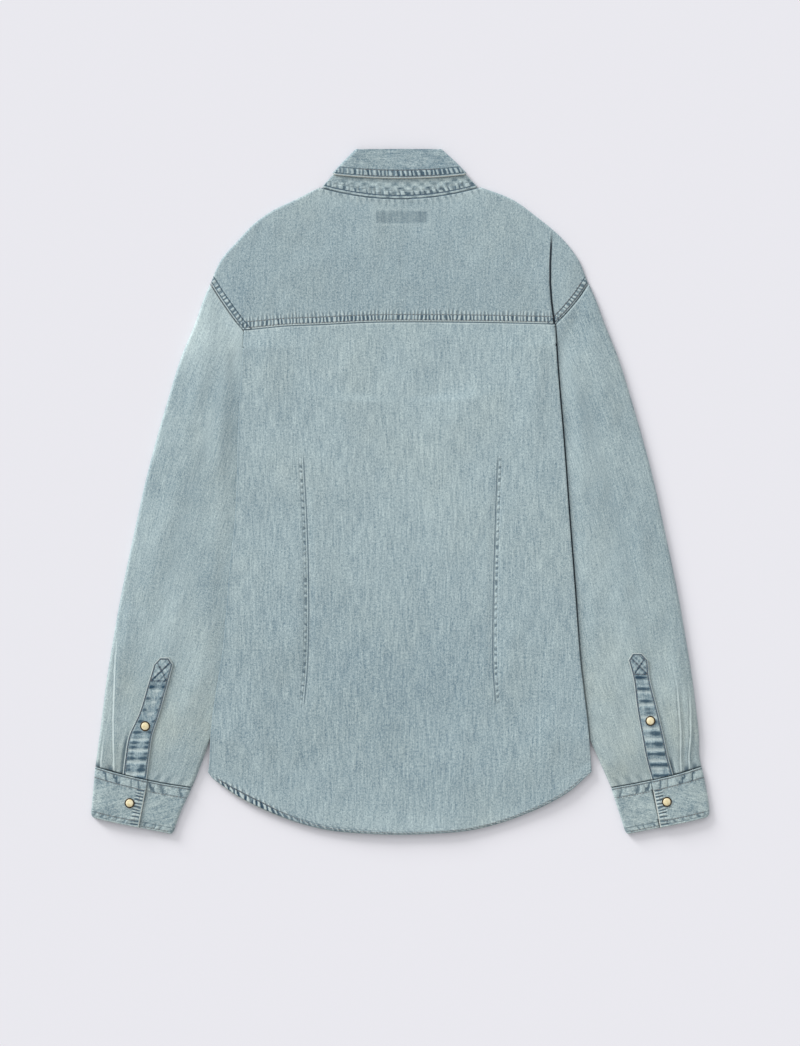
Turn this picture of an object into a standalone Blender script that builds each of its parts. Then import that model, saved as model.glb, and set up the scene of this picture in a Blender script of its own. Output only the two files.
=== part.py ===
"""Denim shirt with snaps, laid flat on its front: back up, collar toward +Y.

Lengths in this file are in millimetres and are turned into metres by MM.
Every panel is a sheet (a grid of points on the cloth's middle) made solid to
CLOTH.  Levels are the heights of a sheet's middle above the surface.
The right-hand side (+X) is worked out and the left-hand side is its mirror.
"""
import math
from collections import namedtuple

import bpy
import numpy as np

for ob in list(bpy.data.objects):
    bpy.data.objects.remove(ob, do_unlink=True)

MM = 0.001
CLOTH = 1.0            # cloth as cut, seams and all
SEAM = 0.3             # space between two pieces at a seam

# ---- levels of the sheets, one lying on the other ----
ON_SURFACE = 0.5       # a sheet lying on the surface
PLACKET_LEVEL = 2.1    # over the snap caps of the closed front
UNDERLAP_LEVEL = 3.5   # the right front, inside the placket
FRONT_FOLD = 0.75      # radius of the fold in a front at the body's side
BACK_FOLD = 0.75       # radius of the fold in the back at the body's side
SLEEVE_UNDER = 3.5     # sleeve, lower sheet, where it lies in the body's side
SLEEVE_OVER = 5.1      # sleeve, upper sheet, there
SLEEVE_FREE = 2.1      # sleeve, upper sheet, clear of the body
SLEEVE_CROWN = 1.6     # rise of the upper sheet at the sleeve's middle
BACK_SIDE = 8.1        # back at its side fold
BACK_MIDDLE = 5.4      # back over the placket
BACK_YOKE_END = 5.1    # back and yoke at the yoke corner
BACK_HEM_SIDE = 5.1    # back at the hem's corners
STAND_BACK = 4.9       # collar stand behind the neck
LEAF_BACK = 6.7        # collar leaf behind the neck

# ---- outline ----
PLACKET_HALF = 16.0
NECK_HALF = 91.5
NECK_SIDE_Y = 350.0
NECK_FRONT_HALF = 89.0
BACK_NECK_Y = 337.0
FRONT_NECK_Y = 262.0
STAND_HEIGHT = 38.0
COLLAR_TOP_Y = 393.65
COLLAR_TOP_HALF = 49.5
LEAF_EDGE_Y = 360.0
YOKE_Y = 195.5
YOKE_BOW = 2.5
HEM_Y = -394.2
UNDERARM_Y = 105.0
FOLD_START_Y = 168.0
HEM_BLEND_Y = -270.0

At = namedtuple("At", "y value")
Pt = namedtuple("Pt", "x y")

BODY_HALF = [At(-400, 223), At(-322, 219.5), At(-278, 216.8), At(-190, 206.5),
             At(-118, 200.5), At(-35, 193.5), At(71, 186.5), At(150, 180.5), At(202, 177.5)]
# plan of the armhole seam below the yoke corner, hidden in the side's fold
ARMHOLE_HIDDEN = [At(105, 81), At(109, 105), At(117, 130), At(129, 150),
                  At(143, 162), At(157, 170), At(168, 173.5)]
# cloth turned in at the body's side below the armhole
TURNED_IN = [At(-400, 9), At(-300, 10), At(-250, 17), At(-200, 29), At(-100, 54),
             At(0, 79), At(105, 104)]
BACK_SIDE_LEVEL = [At(-400, BACK_HEM_SIDE), At(-322, BACK_HEM_SIDE), At(-285, BACK_SIDE),
                   At(168, BACK_SIDE), At(179, 6.6), At(193, BACK_YOKE_END)]
HEM = [At(0, HEM_Y), At(36, -393), At(84.5, -388.5), At(116.7, -380.5), At(145.5, -370),
       At(173, -357.5), At(197, -343), At(219.5, -323), At(245, -303)]
SHOULDER_EDGE = [Pt(92, 350), Pt(111.6, 342.5), Pt(126.5, 335.8), Pt(161.6, 312.8),
                 Pt(188, 289.8), Pt(205.3, 266.8), Pt(217.0, 239.4)]
ARMHOLE_BACK = [Pt(179.6, 193.0), Pt(188.0, 201.9), Pt(198.2, 213.4), Pt(208.3, 226.2),
                Pt(217.0, 239.4)]
FRONT_YOKE_SEAM = [Pt(80.0, 311.4), Pt(112, 300), Pt(140, 283), Pt(163, 259), Pt(180, 229),
                   Pt(189.5, 204)]
SLEEVE_OUTER = [Pt(217.5, 238.95), Pt(225.4, 220.8), Pt(233.8, 197.8), Pt(251.9, 151.8),
                Pt(266.2, 105.8), Pt(279.5, 59.8), Pt(291.5, 13.8), Pt(301.8, -32.2),
                Pt(311.7, -78.2), Pt(321, -124.2), Pt(329, -170.2), Pt(336.5, -216.2),
                Pt(342.3, -262.2), Pt(349.4, -315.7)]
SLEEVE_INNER = [Pt(84.5, 105), Pt(119, 20), Pt(154, -90), Pt(184, -190), Pt(207, -258),
                Pt(219, -284), Pt(232, -313), Pt(243.8, -339.9)]
CUFF_SEAM = [Pt(243.8, -339.9), Pt(267, -335.8), Pt(290.6, -331), Pt(320, -324), Pt(349.4, -315.7)]
CUFF_END = [Pt(261.0, -393.4), Pt(299.5, -385.8), Pt(330, -379.6), Pt(354.6, -373.8)]
CUFF_LAP_TOP = 289.0   # x of the cuff's free edge at its seam
CUFF_LAP_END = 299.6
CUFF_UNDERLAP = 25.0
Strip = namedtuple("Strip", "y inner outer")
SLEEVE_PLACKET = [Strip(-330.6, 289.6, 315.6), Strip(-306, 285.2, 312.6), Strip(-285, 280.6, 308.2),
                  Strip(-251, 272.6, 297.9), Strip(-214, 265.8, 287.6), Strip(-197, 262.0, 284.4),
                  Strip(-187, 267.0, 278.0)]

# ---- snaps ----
SNAP_RADIUS = 5.8
SNAP_BEZEL = 1.35
FRONT_SNAP_Y = (225.0, 142.0, 59.0, -24.0, -107.0, -190.0, -273.0)
STAND_SNAP_Y = 282.0
CUFF_SNAP = Pt(308.3, -356.7)
SLEEVE_SNAP = Pt(290.0, -265.9)


# ---- curves ----
def spline(xs, ys):
    xs, ys = np.asarray(xs, float), np.asarray(ys, float)
    slope = np.gradient(ys, xs)

    def value(v):
        v = np.asarray(v, float)
        i = np.clip(np.searchsorted(xs, v) - 1, 0, len(xs) - 2)
        h = xs[i + 1] - xs[i]
        t = np.clip((v - xs[i]) / h, 0, 1)
        return ((2 * t**3 - 3 * t**2 + 1) * ys[i] + (t**3 - 2 * t**2 + t) * h * slope[i]
                + (3 * t**2 - 2 * t**3) * ys[i + 1] + (t**3 - t**2) * h * slope[i + 1])
    return value


def table(rows):
    return spline([r[0] for r in rows], [r[1] for r in rows])


def steps(rows):
    ys, vs = [r[0] for r in rows], [r[1] for r in rows]
    return lambda y: np.interp(y, ys, vs)


def path(points):
    """Curve through the points; its argument runs 0 to 1 by length."""
    p = np.array([(q[0], q[1]) for q in points], float)
    d = np.r_[0, np.cumsum(np.hypot(*np.diff(p, axis=0).T))]
    fx, fy = spline(d / d[-1], p[:, 0]), spline(d / d[-1], p[:, 1])
    return lambda t: np.stack([fx(t), fy(t)], -1)


def smooth(t):
    t = np.clip(t, 0, 1)
    return t * t * (3 - 2 * t)


def patch(bottom, top, left, right, us, vs):
    """Sheet filled between four edges: bottom/top run along u, left/right along v."""
    u, v = np.meshgrid(us, vs)
    u, v = u[..., None], v[..., None]
    b, t = bottom(np.asarray(us))[None], top(np.asarray(us))[None]
    le, ri = left(np.asarray(vs))[:, None], right(np.asarray(vs))[:, None]
    return ((1 - v) * b + v * t + (1 - u) * le + u * ri
            - ((1 - u) * (1 - v) * bottom(0.0) + u * (1 - v) * bottom(1.0)
               + (1 - u) * v * top(0.0) + u * v * top(1.0)))


body_half = table(BODY_HALF)
armhole_hidden = table(ARMHOLE_HIDDEN)
turned_below = table(TURNED_IN)
side_level = steps(BACK_SIDE_LEVEL)
hem_y = table(HEM)


def turned_in(y):
    """Width of cloth folded in at the body's side, at height y."""
    y = np.asarray(y, float)
    above = body_half(y) - armhole_hidden(np.clip(y, 105, 168))
    return np.where(y > UNDERARM_Y, np.where(y > FOLD_START_Y, 1.0, above), turned_below(y))


def yoke_seam_y(x):
    return YOKE_Y - YOKE_BOW * (np.asarray(x, float) / ARMHOLE_BACK[0].x) ** 2


def neck_front_y(x):
    return NECK_SIDE_Y - (NECK_SIDE_Y - FRONT_NECK_Y) * np.sqrt(
        np.clip(1 - (np.asarray(x, float) / NECK_FRONT_HALF) ** 2, 0, 1))


def neck_lift(x, y):
    """1 where the collar leaf lies under the fronts and the yoke."""
    return smooth((118 - np.abs(x)) / 30) * smooth((y - 200) / 34)


def front_level(x, y, underlap):
    """Level of a front; underlap is the rise inside the placket."""
    x = np.asarray(x, float)
    rise = PLACKET_LEVEL - ON_SURFACE
    if underlap:
        centre = (UNDERLAP_LEVEL - ON_SURFACE) * smooth((62 - x) / 42)
    else:
        centre = rise * smooth((54 - x) / 36)
    return ON_SURFACE + np.maximum(centre, rise * neck_lift(x, y))


def back_level(x, y):
    x = np.abs(np.asarray(x, float))
    inner = body_half(y) - turned_in(y)
    lift = smooth((x - (inner - 64)) / 58)
    low = BACK_MIDDLE - 2.0 * smooth((x - 45) / 40) * smooth((-300 - y) / 60)
    return low + (side_level(y) - low) * lift


# ---- solids ----
collection = bpy.data.collections.new("denim_shirt")
bpy.context.scene.collection.children.link(collection)


def material(name, rgb, rough, metal=0.0):
    m = bpy.data.materials.new(name)
    m.use_nodes = True
    bsdf = m.node_tree.nodes["Principled BSDF"]
    bsdf.inputs["Base Color"].default_value = (*rgb, 1)
    bsdf.inputs["Roughness"].default_value = rough
    bsdf.inputs["Metallic"].default_value = metal
    m.diffuse_color = (*rgb, 1)
    return m


def add(name, verts, faces, mat, smooth_shaded=True):
    mesh = bpy.data.meshes.new(name)
    mesh.from_pydata([tuple(v) for v in verts], [], faces)
    mesh.update()
    mesh.materials.append(mat)
    for p in mesh.polygons:
        p.use_smooth = smooth_shaded
    ob = bpy.data.objects.new(name, mesh)
    collection.objects.link(ob)
    return ob


def sheet(name, grid, mat, ring=False, keep=None, mirrored=False):
    """Solid cloth from a grid of points (rows, columns, xyz) in millimetres."""
    grid = np.asarray(grid, float)
    rows, cols = grid.shape[:2]
    faces, used = [], {}

    def vid(i, j):
        return used.setdefault((i, j % cols if ring else j), len(used))
    for i in range(rows - 1):
        for j in range(cols if ring else cols - 1):
            if keep is None or keep(i, j):
                faces.append((vid(i, j), vid(i, j + 1), vid(i + 1, j + 1), vid(i + 1, j)))
    verts = [None] * len(used)
    for (i, j), k in used.items():
        verts[k] = grid[i, j] * MM
    ob = add(name, verts, faces, mat)
    if mirrored:
        both = ob.modifiers.new("both_sides", "MIRROR")
        both.merge_threshold = 0.00005
        both.use_clip = True
    solid = ob.modifiers.new("cloth", "SOLIDIFY")
    solid.thickness = CLOTH * MM
    solid.offset = 0.0
    solid.use_even_offset = True
    solid.use_quality_normals = True
    solid.use_rim = True
    return ob


def mirror(grid):
    g = np.array(grid, float)
    g[..., 0] *= -1
    return g


def folded_row(y_of, half, turned, radius, folded, level, up, start, seam_level, flat_n):
    """One row across a half body sheet: flat, side fold, turned-in part, seam end.

    y_of gives y for a developed distance from the centre; up is +1 when the
    sheet folds upward (front) and -1 when it folds downward (back).
    """
    r = radius
    centre = half - r if folded else half - 0.2
    flat = start + (centre - start) * np.linspace(0, 1, flat_n) ** 0.85
    pts = [(x, y_of(x), level(x)) for x in flat]
    z0 = level(centre)
    for k in range(1, FOLD_N + 1):
        a = math.pi * k / FOLD_N
        s = centre + r * a
        pts.append((centre + r * math.sin(a), y_of(s), z0 + up * r * (1 - math.cos(a))))
    x1, _, z1 = pts[-1]
    drop = abs(seam_level - z1)
    run = max(turned - r - drop, 0.8)
    for k in range(1, IN_N + 1):
        d = run * k / IN_N
        pts.append((x1 - d, y_of(half + d), z1))
    for k in range(1, END_N + 1):
        a = math.pi / 2 * k / END_N
        pts.append((x1 - run - drop * math.sin(a), y_of(half + run + drop * a),
                    z1 + up * drop * (1 - math.cos(a))))
    return pts


BACK_FLAT, FRONT_FLAT, FOLD_N, IN_N, END_N = 9, 12, 4, 3, 3


def hem_row(weight, x):
    """y of a row between the last straight row and the hem."""
    return HEM_BLEND_Y + (hem_y(np.clip(x, 0, 235)) - HEM_BLEND_Y) * weight


STRAIGHT_ROWS = [-190, -100, -10, 60, 97, UNDERARM_Y, 112, 122, 136, 152, FOLD_START_Y, 180]
MIDDLE = (SLEEVE_UNDER + SLEEVE_OVER) / 2


def body_rows(start, top_row, level, radius, up, inset, flat_n):
    rows = []
    for w in (1.0, 0.66, 0.33, 0.0):
        y0 = float(hem_row(w, 200))
        half = float(body_half(y0)) - inset
        lift = (0.6 if up > 0 else 0.0) * w

        def y_of(s, w=w, half=half, lift=lift):
            x = s if s < half else 2 * half - s
            x = x if s < half else half + 0.55 * (s - half)
            return float(hem_row(w, abs(x))) + lift
        mid = 2.75 if w > 0.3 else MIDDLE
        rows.append(folded_row(y_of, half, float(turned_in(y0)) - inset, radius, True,
                               lambda x, y0=y0: float(level(x, y0)), up, start,
                               mid + up * -SEAM / 2, flat_n))
    for y in STRAIGHT_ROWS:
        half = float(body_half(y)) - inset
        rows.append(folded_row(lambda s, y=y: y, half, float(turned_in(y)) - inset, radius,
                               y <= FOLD_START_Y, lambda x, y=y: float(level(x, y)), up, start,
                               MIDDLE + up * -SEAM / 2, flat_n))
    rows.extend(top_row(len(rows[0])))
    return np.array(rows)


ARMHOLE_ROW = 4 + STRAIGHT_ROWS.index(UNDERARM_Y)
FOLD_ROW = 4 + STRAIGHT_ROWS.index(FOLD_START_Y)


def body_cloth(flat_n):
    """Test for the faces a body sheet has: fewer columns above the armhole's foot."""
    def has(i, j):
        if i >= FOLD_ROW:
            return j < flat_n - 1
        return i < ARMHOLE_ROW or j < flat_n + FOLD_N + IN_N - 1
    return has


denim_back = material("denim_back", (0.30, 0.41, 0.45), 0.9)
denim_yoke = material("denim_yoke", (0.28, 0.39, 0.44), 0.9)
denim_front = material("denim_front", (0.30, 0.41, 0.45), 0.9)
denim_sleeve = material("denim_sleeve", (0.36, 0.47, 0.48), 0.9)
denim_cuff = material("denim_cuff", (0.35, 0.47, 0.49), 0.9)
denim_collar = material("denim_collar", (0.31, 0.43, 0.47), 0.9)
denim_placket = material("denim_placket", (0.29, 0.41, 0.47), 0.9)
snap_metal = material("snap_metal", (0.20, 0.14, 0.08), 0.45, 1.0)
snap_pearl = material("snap_pearl", (0.78, 0.68, 0.44), 0.3)


# ---- back ----
def back_top(count):
    xs = 177.9 * np.linspace(0, 1, BACK_FLAT) ** 0.85
    xs = np.r_[xs, np.full(count - BACK_FLAT, xs[-1])]
    return [[(x, float(yoke_seam_y(x)) - SEAM, float(back_level(min(x, 176), 193.0))) for x in xs]]


half_back = body_rows(0.0, back_top, back_level, BACK_FOLD, -1, 0.0, BACK_FLAT)
sheet("back", half_back, denim_back, keep=body_cloth(BACK_FLAT), mirrored=True)


# ---- fronts ----
NECK_N = 6             # points of a front along its neckline


def front_top(start, underlap):
    seam = path(FRONT_YOKE_SEAM)
    corner = FRONT_YOKE_SEAM[0].x

    def rows(count):
        top = []
        for k in range(FRONT_FLAT):
            if k < NECK_N:
                a0, a1 = math.asin(start / NECK_FRONT_HALF), math.asin(corner / NECK_FRONT_HALF)
                x = NECK_FRONT_HALF * math.sin(a0 + (a1 - a0) * k / (NECK_N - 1))
                top.append((x, float(neck_front_y(abs(x))) - 0.2))
            else:
                x, y = seam((k - NECK_N + 1) / (FRONT_FLAT - NECK_N))
                top.append((float(x) - 0.5, float(y) - 0.7))
        top[NECK_N - 1] = (corner - 0.2, float(neck_front_y(corner)) - 1.0)
        low = start + (176.0 - 1.2 - start) * np.linspace(0, 1, FRONT_FLAT) ** 0.85
        out = []
        for w in (0.0, 0.5, 1.0):
            row = []
            for k in range(count):
                x0, (x1, y1) = low[min(k, FRONT_FLAT - 1)], top[min(k, FRONT_FLAT - 1)]
                bend = 12.0 * w * (1 - w) * float(smooth((k / (FRONT_FLAT - 1) - 0.6) / 0.4)) * 0.5
                x, y = x0 + (x1 - x0) * w - bend, 189.0 + (y1 - 189.0) * w
                row.append((x, y, float(front_level(x, y, underlap))))
            out.append(row)
        return out
    return rows


def front_grid(start, underlap):
    return body_rows(start, front_top(start, underlap),
                     lambda x, y: front_level(x, y, underlap), FRONT_FOLD, 1, 4.0, FRONT_FLAT)


sheet("front_left", mirror(front_grid(PLACKET_HALF + SEAM, False)), denim_front,
      keep=body_cloth(FRONT_FLAT))
sheet("front_right", front_grid(-PLACKET_HALF, True), denim_front, keep=body_cloth(FRONT_FLAT))

rows = []
for t in np.linspace(0, 1, 5):
    row = []
    for x in np.linspace(-PLACKET_HALF, PLACKET_HALF, 5):
        top, low = float(neck_front_y(abs(x))), float(hem_y(abs(x))) + 0.6
        row.append((x, low + (top - low) * t, PLACKET_LEVEL))
    rows.append(row)
sheet("front_placket", rows, denim_placket)


# ---- yoke ----
shoulder = path(SHOULDER_EDGE)
armhole = path(ARMHOLE_BACK)
front_seam = path(FRONT_YOKE_SEAM)
NECK_COLS, SHOULDER_COLS = 5, 7
NECK_PART = 0.33


def yoke_top(u):
    """Neckline from the centre back, then the shoulder's edge."""
    u = np.asarray(u, float)
    x = NECK_HALF * np.clip(u / NECK_PART, 0, 1)
    neck = np.stack([x, BACK_NECK_Y + (NECK_SIDE_Y - BACK_NECK_Y) * (x / NECK_HALF) ** 2.0], -1)
    return np.where((u > NECK_PART)[..., None],
                    shoulder(np.clip((u - NECK_PART) / (1 - NECK_PART), 0, 1)), neck)


def yoke_bottom(u):
    x = ARMHOLE_BACK[0].x * np.asarray(u, float)
    return np.stack([x, yoke_seam_y(x)], -1)


def yoke_left(v):
    v = np.asarray(v, float)
    return np.stack([0 * v, YOKE_Y + (BACK_NECK_Y - YOKE_Y) * v], -1)


def yoke_right(v):
    return armhole(v)


def edge_normal(t):
    d = shoulder(min(t + 0.01, 1)) - shoulder(max(t - 0.01, 0))
    n = np.array([-d[1], d[0]])
    return -n / np.linalg.norm(n) if n[1] < 0 else n / np.linalg.norm(n)


us = np.r_[np.linspace(0, NECK_PART, NECK_COLS), np.linspace(NECK_PART, 1, SHOULDER_COLS + 1)[1:]]
vs = np.array([0, 0.22, 0.46, 0.7, 0.88, 1.0])
plan = patch(yoke_bottom, yoke_top, yoke_left, yoke_right, us, vs)
yoke_rows = []
edge_front = []
for i, v in enumerate(vs):
    row = []
    for j, u in enumerate(us):
        x, y = plan[i, j]
        st = np.clip((u - NECK_PART) / (1 - NECK_PART), 0, 1)
        e = shoulder(st)
        n = edge_normal(float(st)) if st < 1 else np.array([0.92, 0.39])
        if st == 0:
            n = np.array([0.55, 0.84])
        lift = float(neck_lift(*e))
        r = 0.9 + 0.5 * lift
        z_front = ON_SURFACE + (PLACKET_LEVEL - ON_SURFACE) * lift
        z_edge = z_front + 2 * r
        if u < NECK_PART:
            z_edge = STAND_BACK
        seam_z = float(back_level(min(x, 176), 193.0))
        z = z_edge + (seam_z - z_edge) * float(smooth((1 - v) / 0.75))
        pull = r * v ** 6 if u >= NECK_PART else 0.0
        row.append((x - n[0] * pull, y - n[1] * pull, z))
    yoke_rows.append(row)
TURN = 4
for k in range(1, TURN + 1):
    row = []
    for j, u in enumerate(us):
        st = float(np.clip((u - NECK_PART) / (1 - NECK_PART), 0, 1))
        e = shoulder(st)
        n = edge_normal(st) if st < 1 else np.array([0.92, 0.39])
        if st == 0:
            n = np.array([0.55, 0.84])
        lift = float(neck_lift(*e))
        r = 0.9 + 0.5 * lift
        z_front = ON_SURFACE + (PLACKET_LEVEL - ON_SURFACE) * lift
        a = math.pi * k / TURN
        out = -r + r * math.sin(a)
        row.append((e[0] + n[0] * out, e[1] + n[1] * out, z_front + r + r * math.cos(a)))
    yoke_rows.append(row)
for w in (0.5, 1.0):
    row = []
    for j, u in enumerate(us):
        st = float(np.clip((u - NECK_PART) / (1 - NECK_PART), 0, 1))
        x0, y0, _ = yoke_rows[len(vs) + TURN - 1][j]
        x1, y1 = front_seam(st)
        x, y = x0 + (x1 - x0) * w, y0 + (y1 - y0) * w
        if st == 1:
            x -= 1.6 * math.sin(math.pi * w)
        if st == 0:
            y = float(neck_front_y(x)) if w < 1 else y
        row.append((x, y, ON_SURFACE + (PLACKET_LEVEL - ON_SURFACE) * float(neck_lift(x, y))))
    yoke_rows.append(row)
half_yoke = np.array(yoke_rows)
sheet("yoke", half_yoke, denim_yoke, mirrored=True,
      keep=lambda i, j: i < len(vs) - 1 or j >= NECK_COLS - 1)


# ---- sleeves ----
outer, inner = path(SLEEVE_OUTER), path(SLEEVE_INNER)
cuff_seam = path(CUFF_SEAM)
HOLE = ([Pt(84.5, 105), Pt(107, 109), Pt(131, 117), Pt(151, 129), Pt(164, 143), Pt(173, 157),
         Pt(179.2, 168), Pt(179.8, 180)] + [Pt(p.x + 0.5, p.y - 0.45) for p in ARMHOLE_BACK])
HOLE_LOW, HOLE_HIGH = 0.60, 0.708      # along the hole: its turn below and at the yoke corner
hole = path(HOLE)


def inside_body(x, y):
    """1 where the sleeve lies in the body's side, 0 clear of it."""
    return smooth((body_half(y) + 26 - x) / 24) * smooth((196 - y) / 26) * smooth((y + 318) / 34)


def sleeve_plan(c, t):
    return patch(hole, cuff_seam, inner, outer, [c], [t])[0, 0]


def crossing(t):
    lo, hi = 0.02, 0.98
    for _ in range(30):
        c = (lo + hi) / 2
        x, y = sleeve_plan(c, t)
        lo, hi = (c, hi) if x < body_half(y) + 2.5 else (lo, c)
    return c


def sleeve_levels(x, y, c, t):
    w = float(inside_body(x, y))
    under = ON_SURFACE + (SLEEVE_UNDER - ON_SURFACE) * w
    crown = SLEEVE_CROWN * math.sqrt(max(4 * c * (1 - c), 0)) * (1 - w) * float(
        smooth((1 - t) / 0.12)) * float(smooth(t / 0.12))
    over = SLEEVE_FREE + (SLEEVE_OVER - SLEEVE_FREE) * w + crown
    cap = float(smooth((y - 150) / 40)) * float(smooth((235 - y) / 40)) * float(
        smooth((body_half(y) + 34 - x) / 30))
    over = max(over, SLEEVE_FREE + (BACK_YOKE_END - SLEEVE_FREE) * cap)
    return under, over


SLEEVE_T = [0.0, 0.035, 0.09, 0.18, 0.30, 0.44, 0.58, 0.70, 0.81, 0.89, 0.955, 0.9985]


def sleeve_row(t):
    cb = min(max(crossing(t), 0.12), 0.80) if t > 0 else HOLE_LOW
    cd = cb + (1 - cb) * 0.12 if t > 0 else HOLE_HIGH
    length = np.linalg.norm(sleeve_plan(1.0, t) - sleeve_plan(0.0, t))
    e = 2.2 / length
    cs = [0.0, e * 0.30, e, cb * 0.36, cb * 0.68, cb, cd, cd + (1 - cd) * 0.22,
          cd + (1 - cd) * 0.48, cd + (1 - cd) * 0.74, 1 - e, 1 - e * 0.30, 1.0]
    up, down = [], []
    for c in cs:
        x, y = sleeve_plan(c, t)
        under, over = sleeve_levels(x, y, c, t)
        mid, half = (under + over) / 2, (over - under) / 2
        near = min(c, 1 - c) / e
        part = 1.0 if near >= 1 else (0.75 if near > 0.2 else 0.0)
        up.append((x, y, mid + half * part))
        down.append((x, y, mid - half * part))
    return up + down[-2:0:-1]


sleeve_grid = np.array([sleeve_row(t) for t in SLEEVE_T])
sheet("sleeve_right", sleeve_grid, denim_sleeve, ring=True)
sheet("sleeve_left", mirror(sleeve_grid), denim_sleeve, ring=True)


def height_on(grid, x, y):
    """Highest level of a grid's faces over the point x, y."""
    best = -1.0
    rows_n, cols_n = grid.shape[:2]
    for i in range(rows_n - 1):
        for j in range(cols_n - 1):
            q = (grid[i, j], grid[i, j + 1], grid[i + 1, j + 1], grid[i + 1, j])
            for a, b, c in ((0, 1, 2), (0, 2, 3), (0, 1, 3), (1, 2, 3)):
                a, b, c = q[a], q[b], q[c]
                d = (b[0] - a[0]) * (c[1] - a[1]) - (c[0] - a[0]) * (b[1] - a[1])
                if abs(d) < 1e-9:
                    continue
                s = ((x - a[0]) * (c[1] - a[1]) - (c[0] - a[0]) * (y - a[1])) / d
                t = ((b[0] - a[0]) * (y - a[1]) - (x - a[0]) * (b[1] - a[1])) / d
                if s >= -1e-6 and t >= -1e-6 and s + t <= 1 + 1e-6:
                    best = max(best, a[2] + s * (b[2] - a[2]) + t * (c[2] - a[2]))
    return best


# ---- cuffs ----
cuff_end = path(CUFF_END)
LAP = 1.4


def cuff_plan(c, t):
    top, end = cuff_seam(c), cuff_end(c)
    return top + (end - top) * t + np.array([0.0, -SEAM]) * (1 - t)


def cuff_row(t):
    lap_x = CUFF_LAP_TOP + (CUFF_LAP_END - CUFF_LAP_TOP) * t
    a, b = cuff_plan(0.0, t), cuff_plan(1.0, t)
    cl = (lap_x - a[0]) / (b[0] - a[0])
    cu = (lap_x + CUFF_UNDERLAP - a[0]) / (b[0] - a[0])
    e = 1.6 / (b[0] - a[0])
    pts = []
    low, high = ON_SURFACE, SLEEVE_FREE
    for k in range(6):
        c = cl + (1 - e - cl) * k / 5
        lift = LAP * float(smooth((0.985 - c) / 0.14))
        pts.append((*cuff_plan(c, t), high + lift + 0.1))
    mid, half = (low + high) / 2, (high - low) / 2
    for a1 in (60, 30, 0, -30, -60, -90):
        c = 1 - e + e * math.cos(math.radians(a1))
        pts.append((*cuff_plan(c, t), mid + half * math.sin(math.radians(a1))))
    for k in range(1, 6):
        c = 1 - e + (2 * e - 1) * k / 5
        pts.append((*cuff_plan(c, t), low))
    for a1 in (-60, -30, 0, 30, 60, 90):
        c = e - e * math.cos(math.radians(a1))
        pts.append((*cuff_plan(c, t), mid + half * math.sin(math.radians(a1))))
    for k in range(1, 6):
        c = e + (cu - e) * k / 5
        pts.append((*cuff_plan(c, t), high))
    return pts


cuff_grid = np.array([cuff_row(t) for t in (0.0, 0.5, 1.0)])
sheet("cuff_right", cuff_grid, denim_cuff)
sheet("cuff_left", mirror(cuff_grid), denim_cuff)

strip = []
for s in SLEEVE_PLACKET:
    row = []
    for k in range(4):
        x = s.inner + (s.outer - s.inner) * k / 3
        y = s.y
        if s is SLEEVE_PLACKET[0]:
            y = float(np.interp(x, [p.x for p in CUFF_SEAM], [p.y for p in CUFF_SEAM])) + 0.8
        row.append([x, y, 0.0])
    strip.append(row)
strip = np.array(strip)
lift_over = CLOTH + 0.45
for i in range(strip.shape[0]):
    for j in range(4):
        around = [height_on(sleeve_grid, strip[i, j, 0] + dx, strip[i, j, 1] + dy)
                  for dx, dy in ((0, 0), (5, 0), (-5, 0), (0, 5), (0, 2))]
        strip[i, j, 2] = max(around) + lift_over
sheet("sleeve_placket_right", strip, denim_placket)
sheet("sleeve_placket_left", mirror(strip), denim_placket)


# ---- collar ----
CREASE_LOW = np.array([NECK_HALF, NECK_SIDE_Y + 0.6])
CREASE_TOP = np.array([COLLAR_TOP_HALF, COLLAR_TOP_Y])
crease_dir = (CREASE_TOP - CREASE_LOW) / np.linalg.norm(CREASE_TOP - CREASE_LOW)
crease_out = np.array([-crease_dir[1], crease_dir[0]]) * -1.0
crease_out = crease_out if crease_out[0] > 0 else -crease_out
CREASE_DEPTH = (LEAF_BACK - ON_SURFACE) / 2
STAND_TOP_PART = 0.62      # where the stand's upper edge meets the crease
LEAF_EDGE_PART = 0.36      # where the leaf's free edge meets it
LEAF_POINT = np.array([50.0, 240.0])
COLLAR_GAP_HALF = 3.5


def crease(part):
    p = CREASE_LOW + (CREASE_TOP - CREASE_LOW) * part
    return p - crease_out * CREASE_DEPTH


def collar_curve(front_end, crease_part, back_y, back_power, z_front, z_back, front_n, turn_n, back_n,
                 squash=1.0, overlap=0.0):
    """One line round the right half of the collar, from its front end to the centre back."""
    c = crease(crease_part)
    pts = []
    for k in range(front_n + 1):
        a = math.pi / 2 * k / front_n
        x = front_end[0] + (c[0] - front_end[0]) * math.sin(a) ** squash
        y = c[1] + (front_end[1] - c[1]) * math.cos(a)
        pts.append((x, y, z_front(x)))
    if overlap:
        rise = [float(neck_front_y(x)) - FRONT_NECK_Y for x in (overlap, overlap / 2)]
        pts = [(-overlap, front_end[1] + rise[0] + 0.2, z_front(-overlap)),
               (-overlap / 2, front_end[1] + rise[1] + 0.1, z_front(-overlap / 2))] + pts
    r = (z_back - z_front(c[0])) / 2
    for k in range(1, turn_n):
        a = math.pi * k / turn_n
        p = c + crease_out * r * math.sin(a)
        pts.append((p[0], p[1], z_front(c[0]) + r - r * math.cos(a)))
    for k in range(back_n + 1):
        x = c[0] * (1 - k / back_n)
        y = back_y + (c[1] - back_y) * (x / c[0]) ** back_power
        pts.append((x, y, z_back))
    return pts


def level_lower(x):
    return PLACKET_LEVEL


def level_upper(x):
    return PLACKET_LEVEL + (UNDERLAP_LEVEL - PLACKET_LEVEL) * float(smooth((50 - x) / 30))


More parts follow.
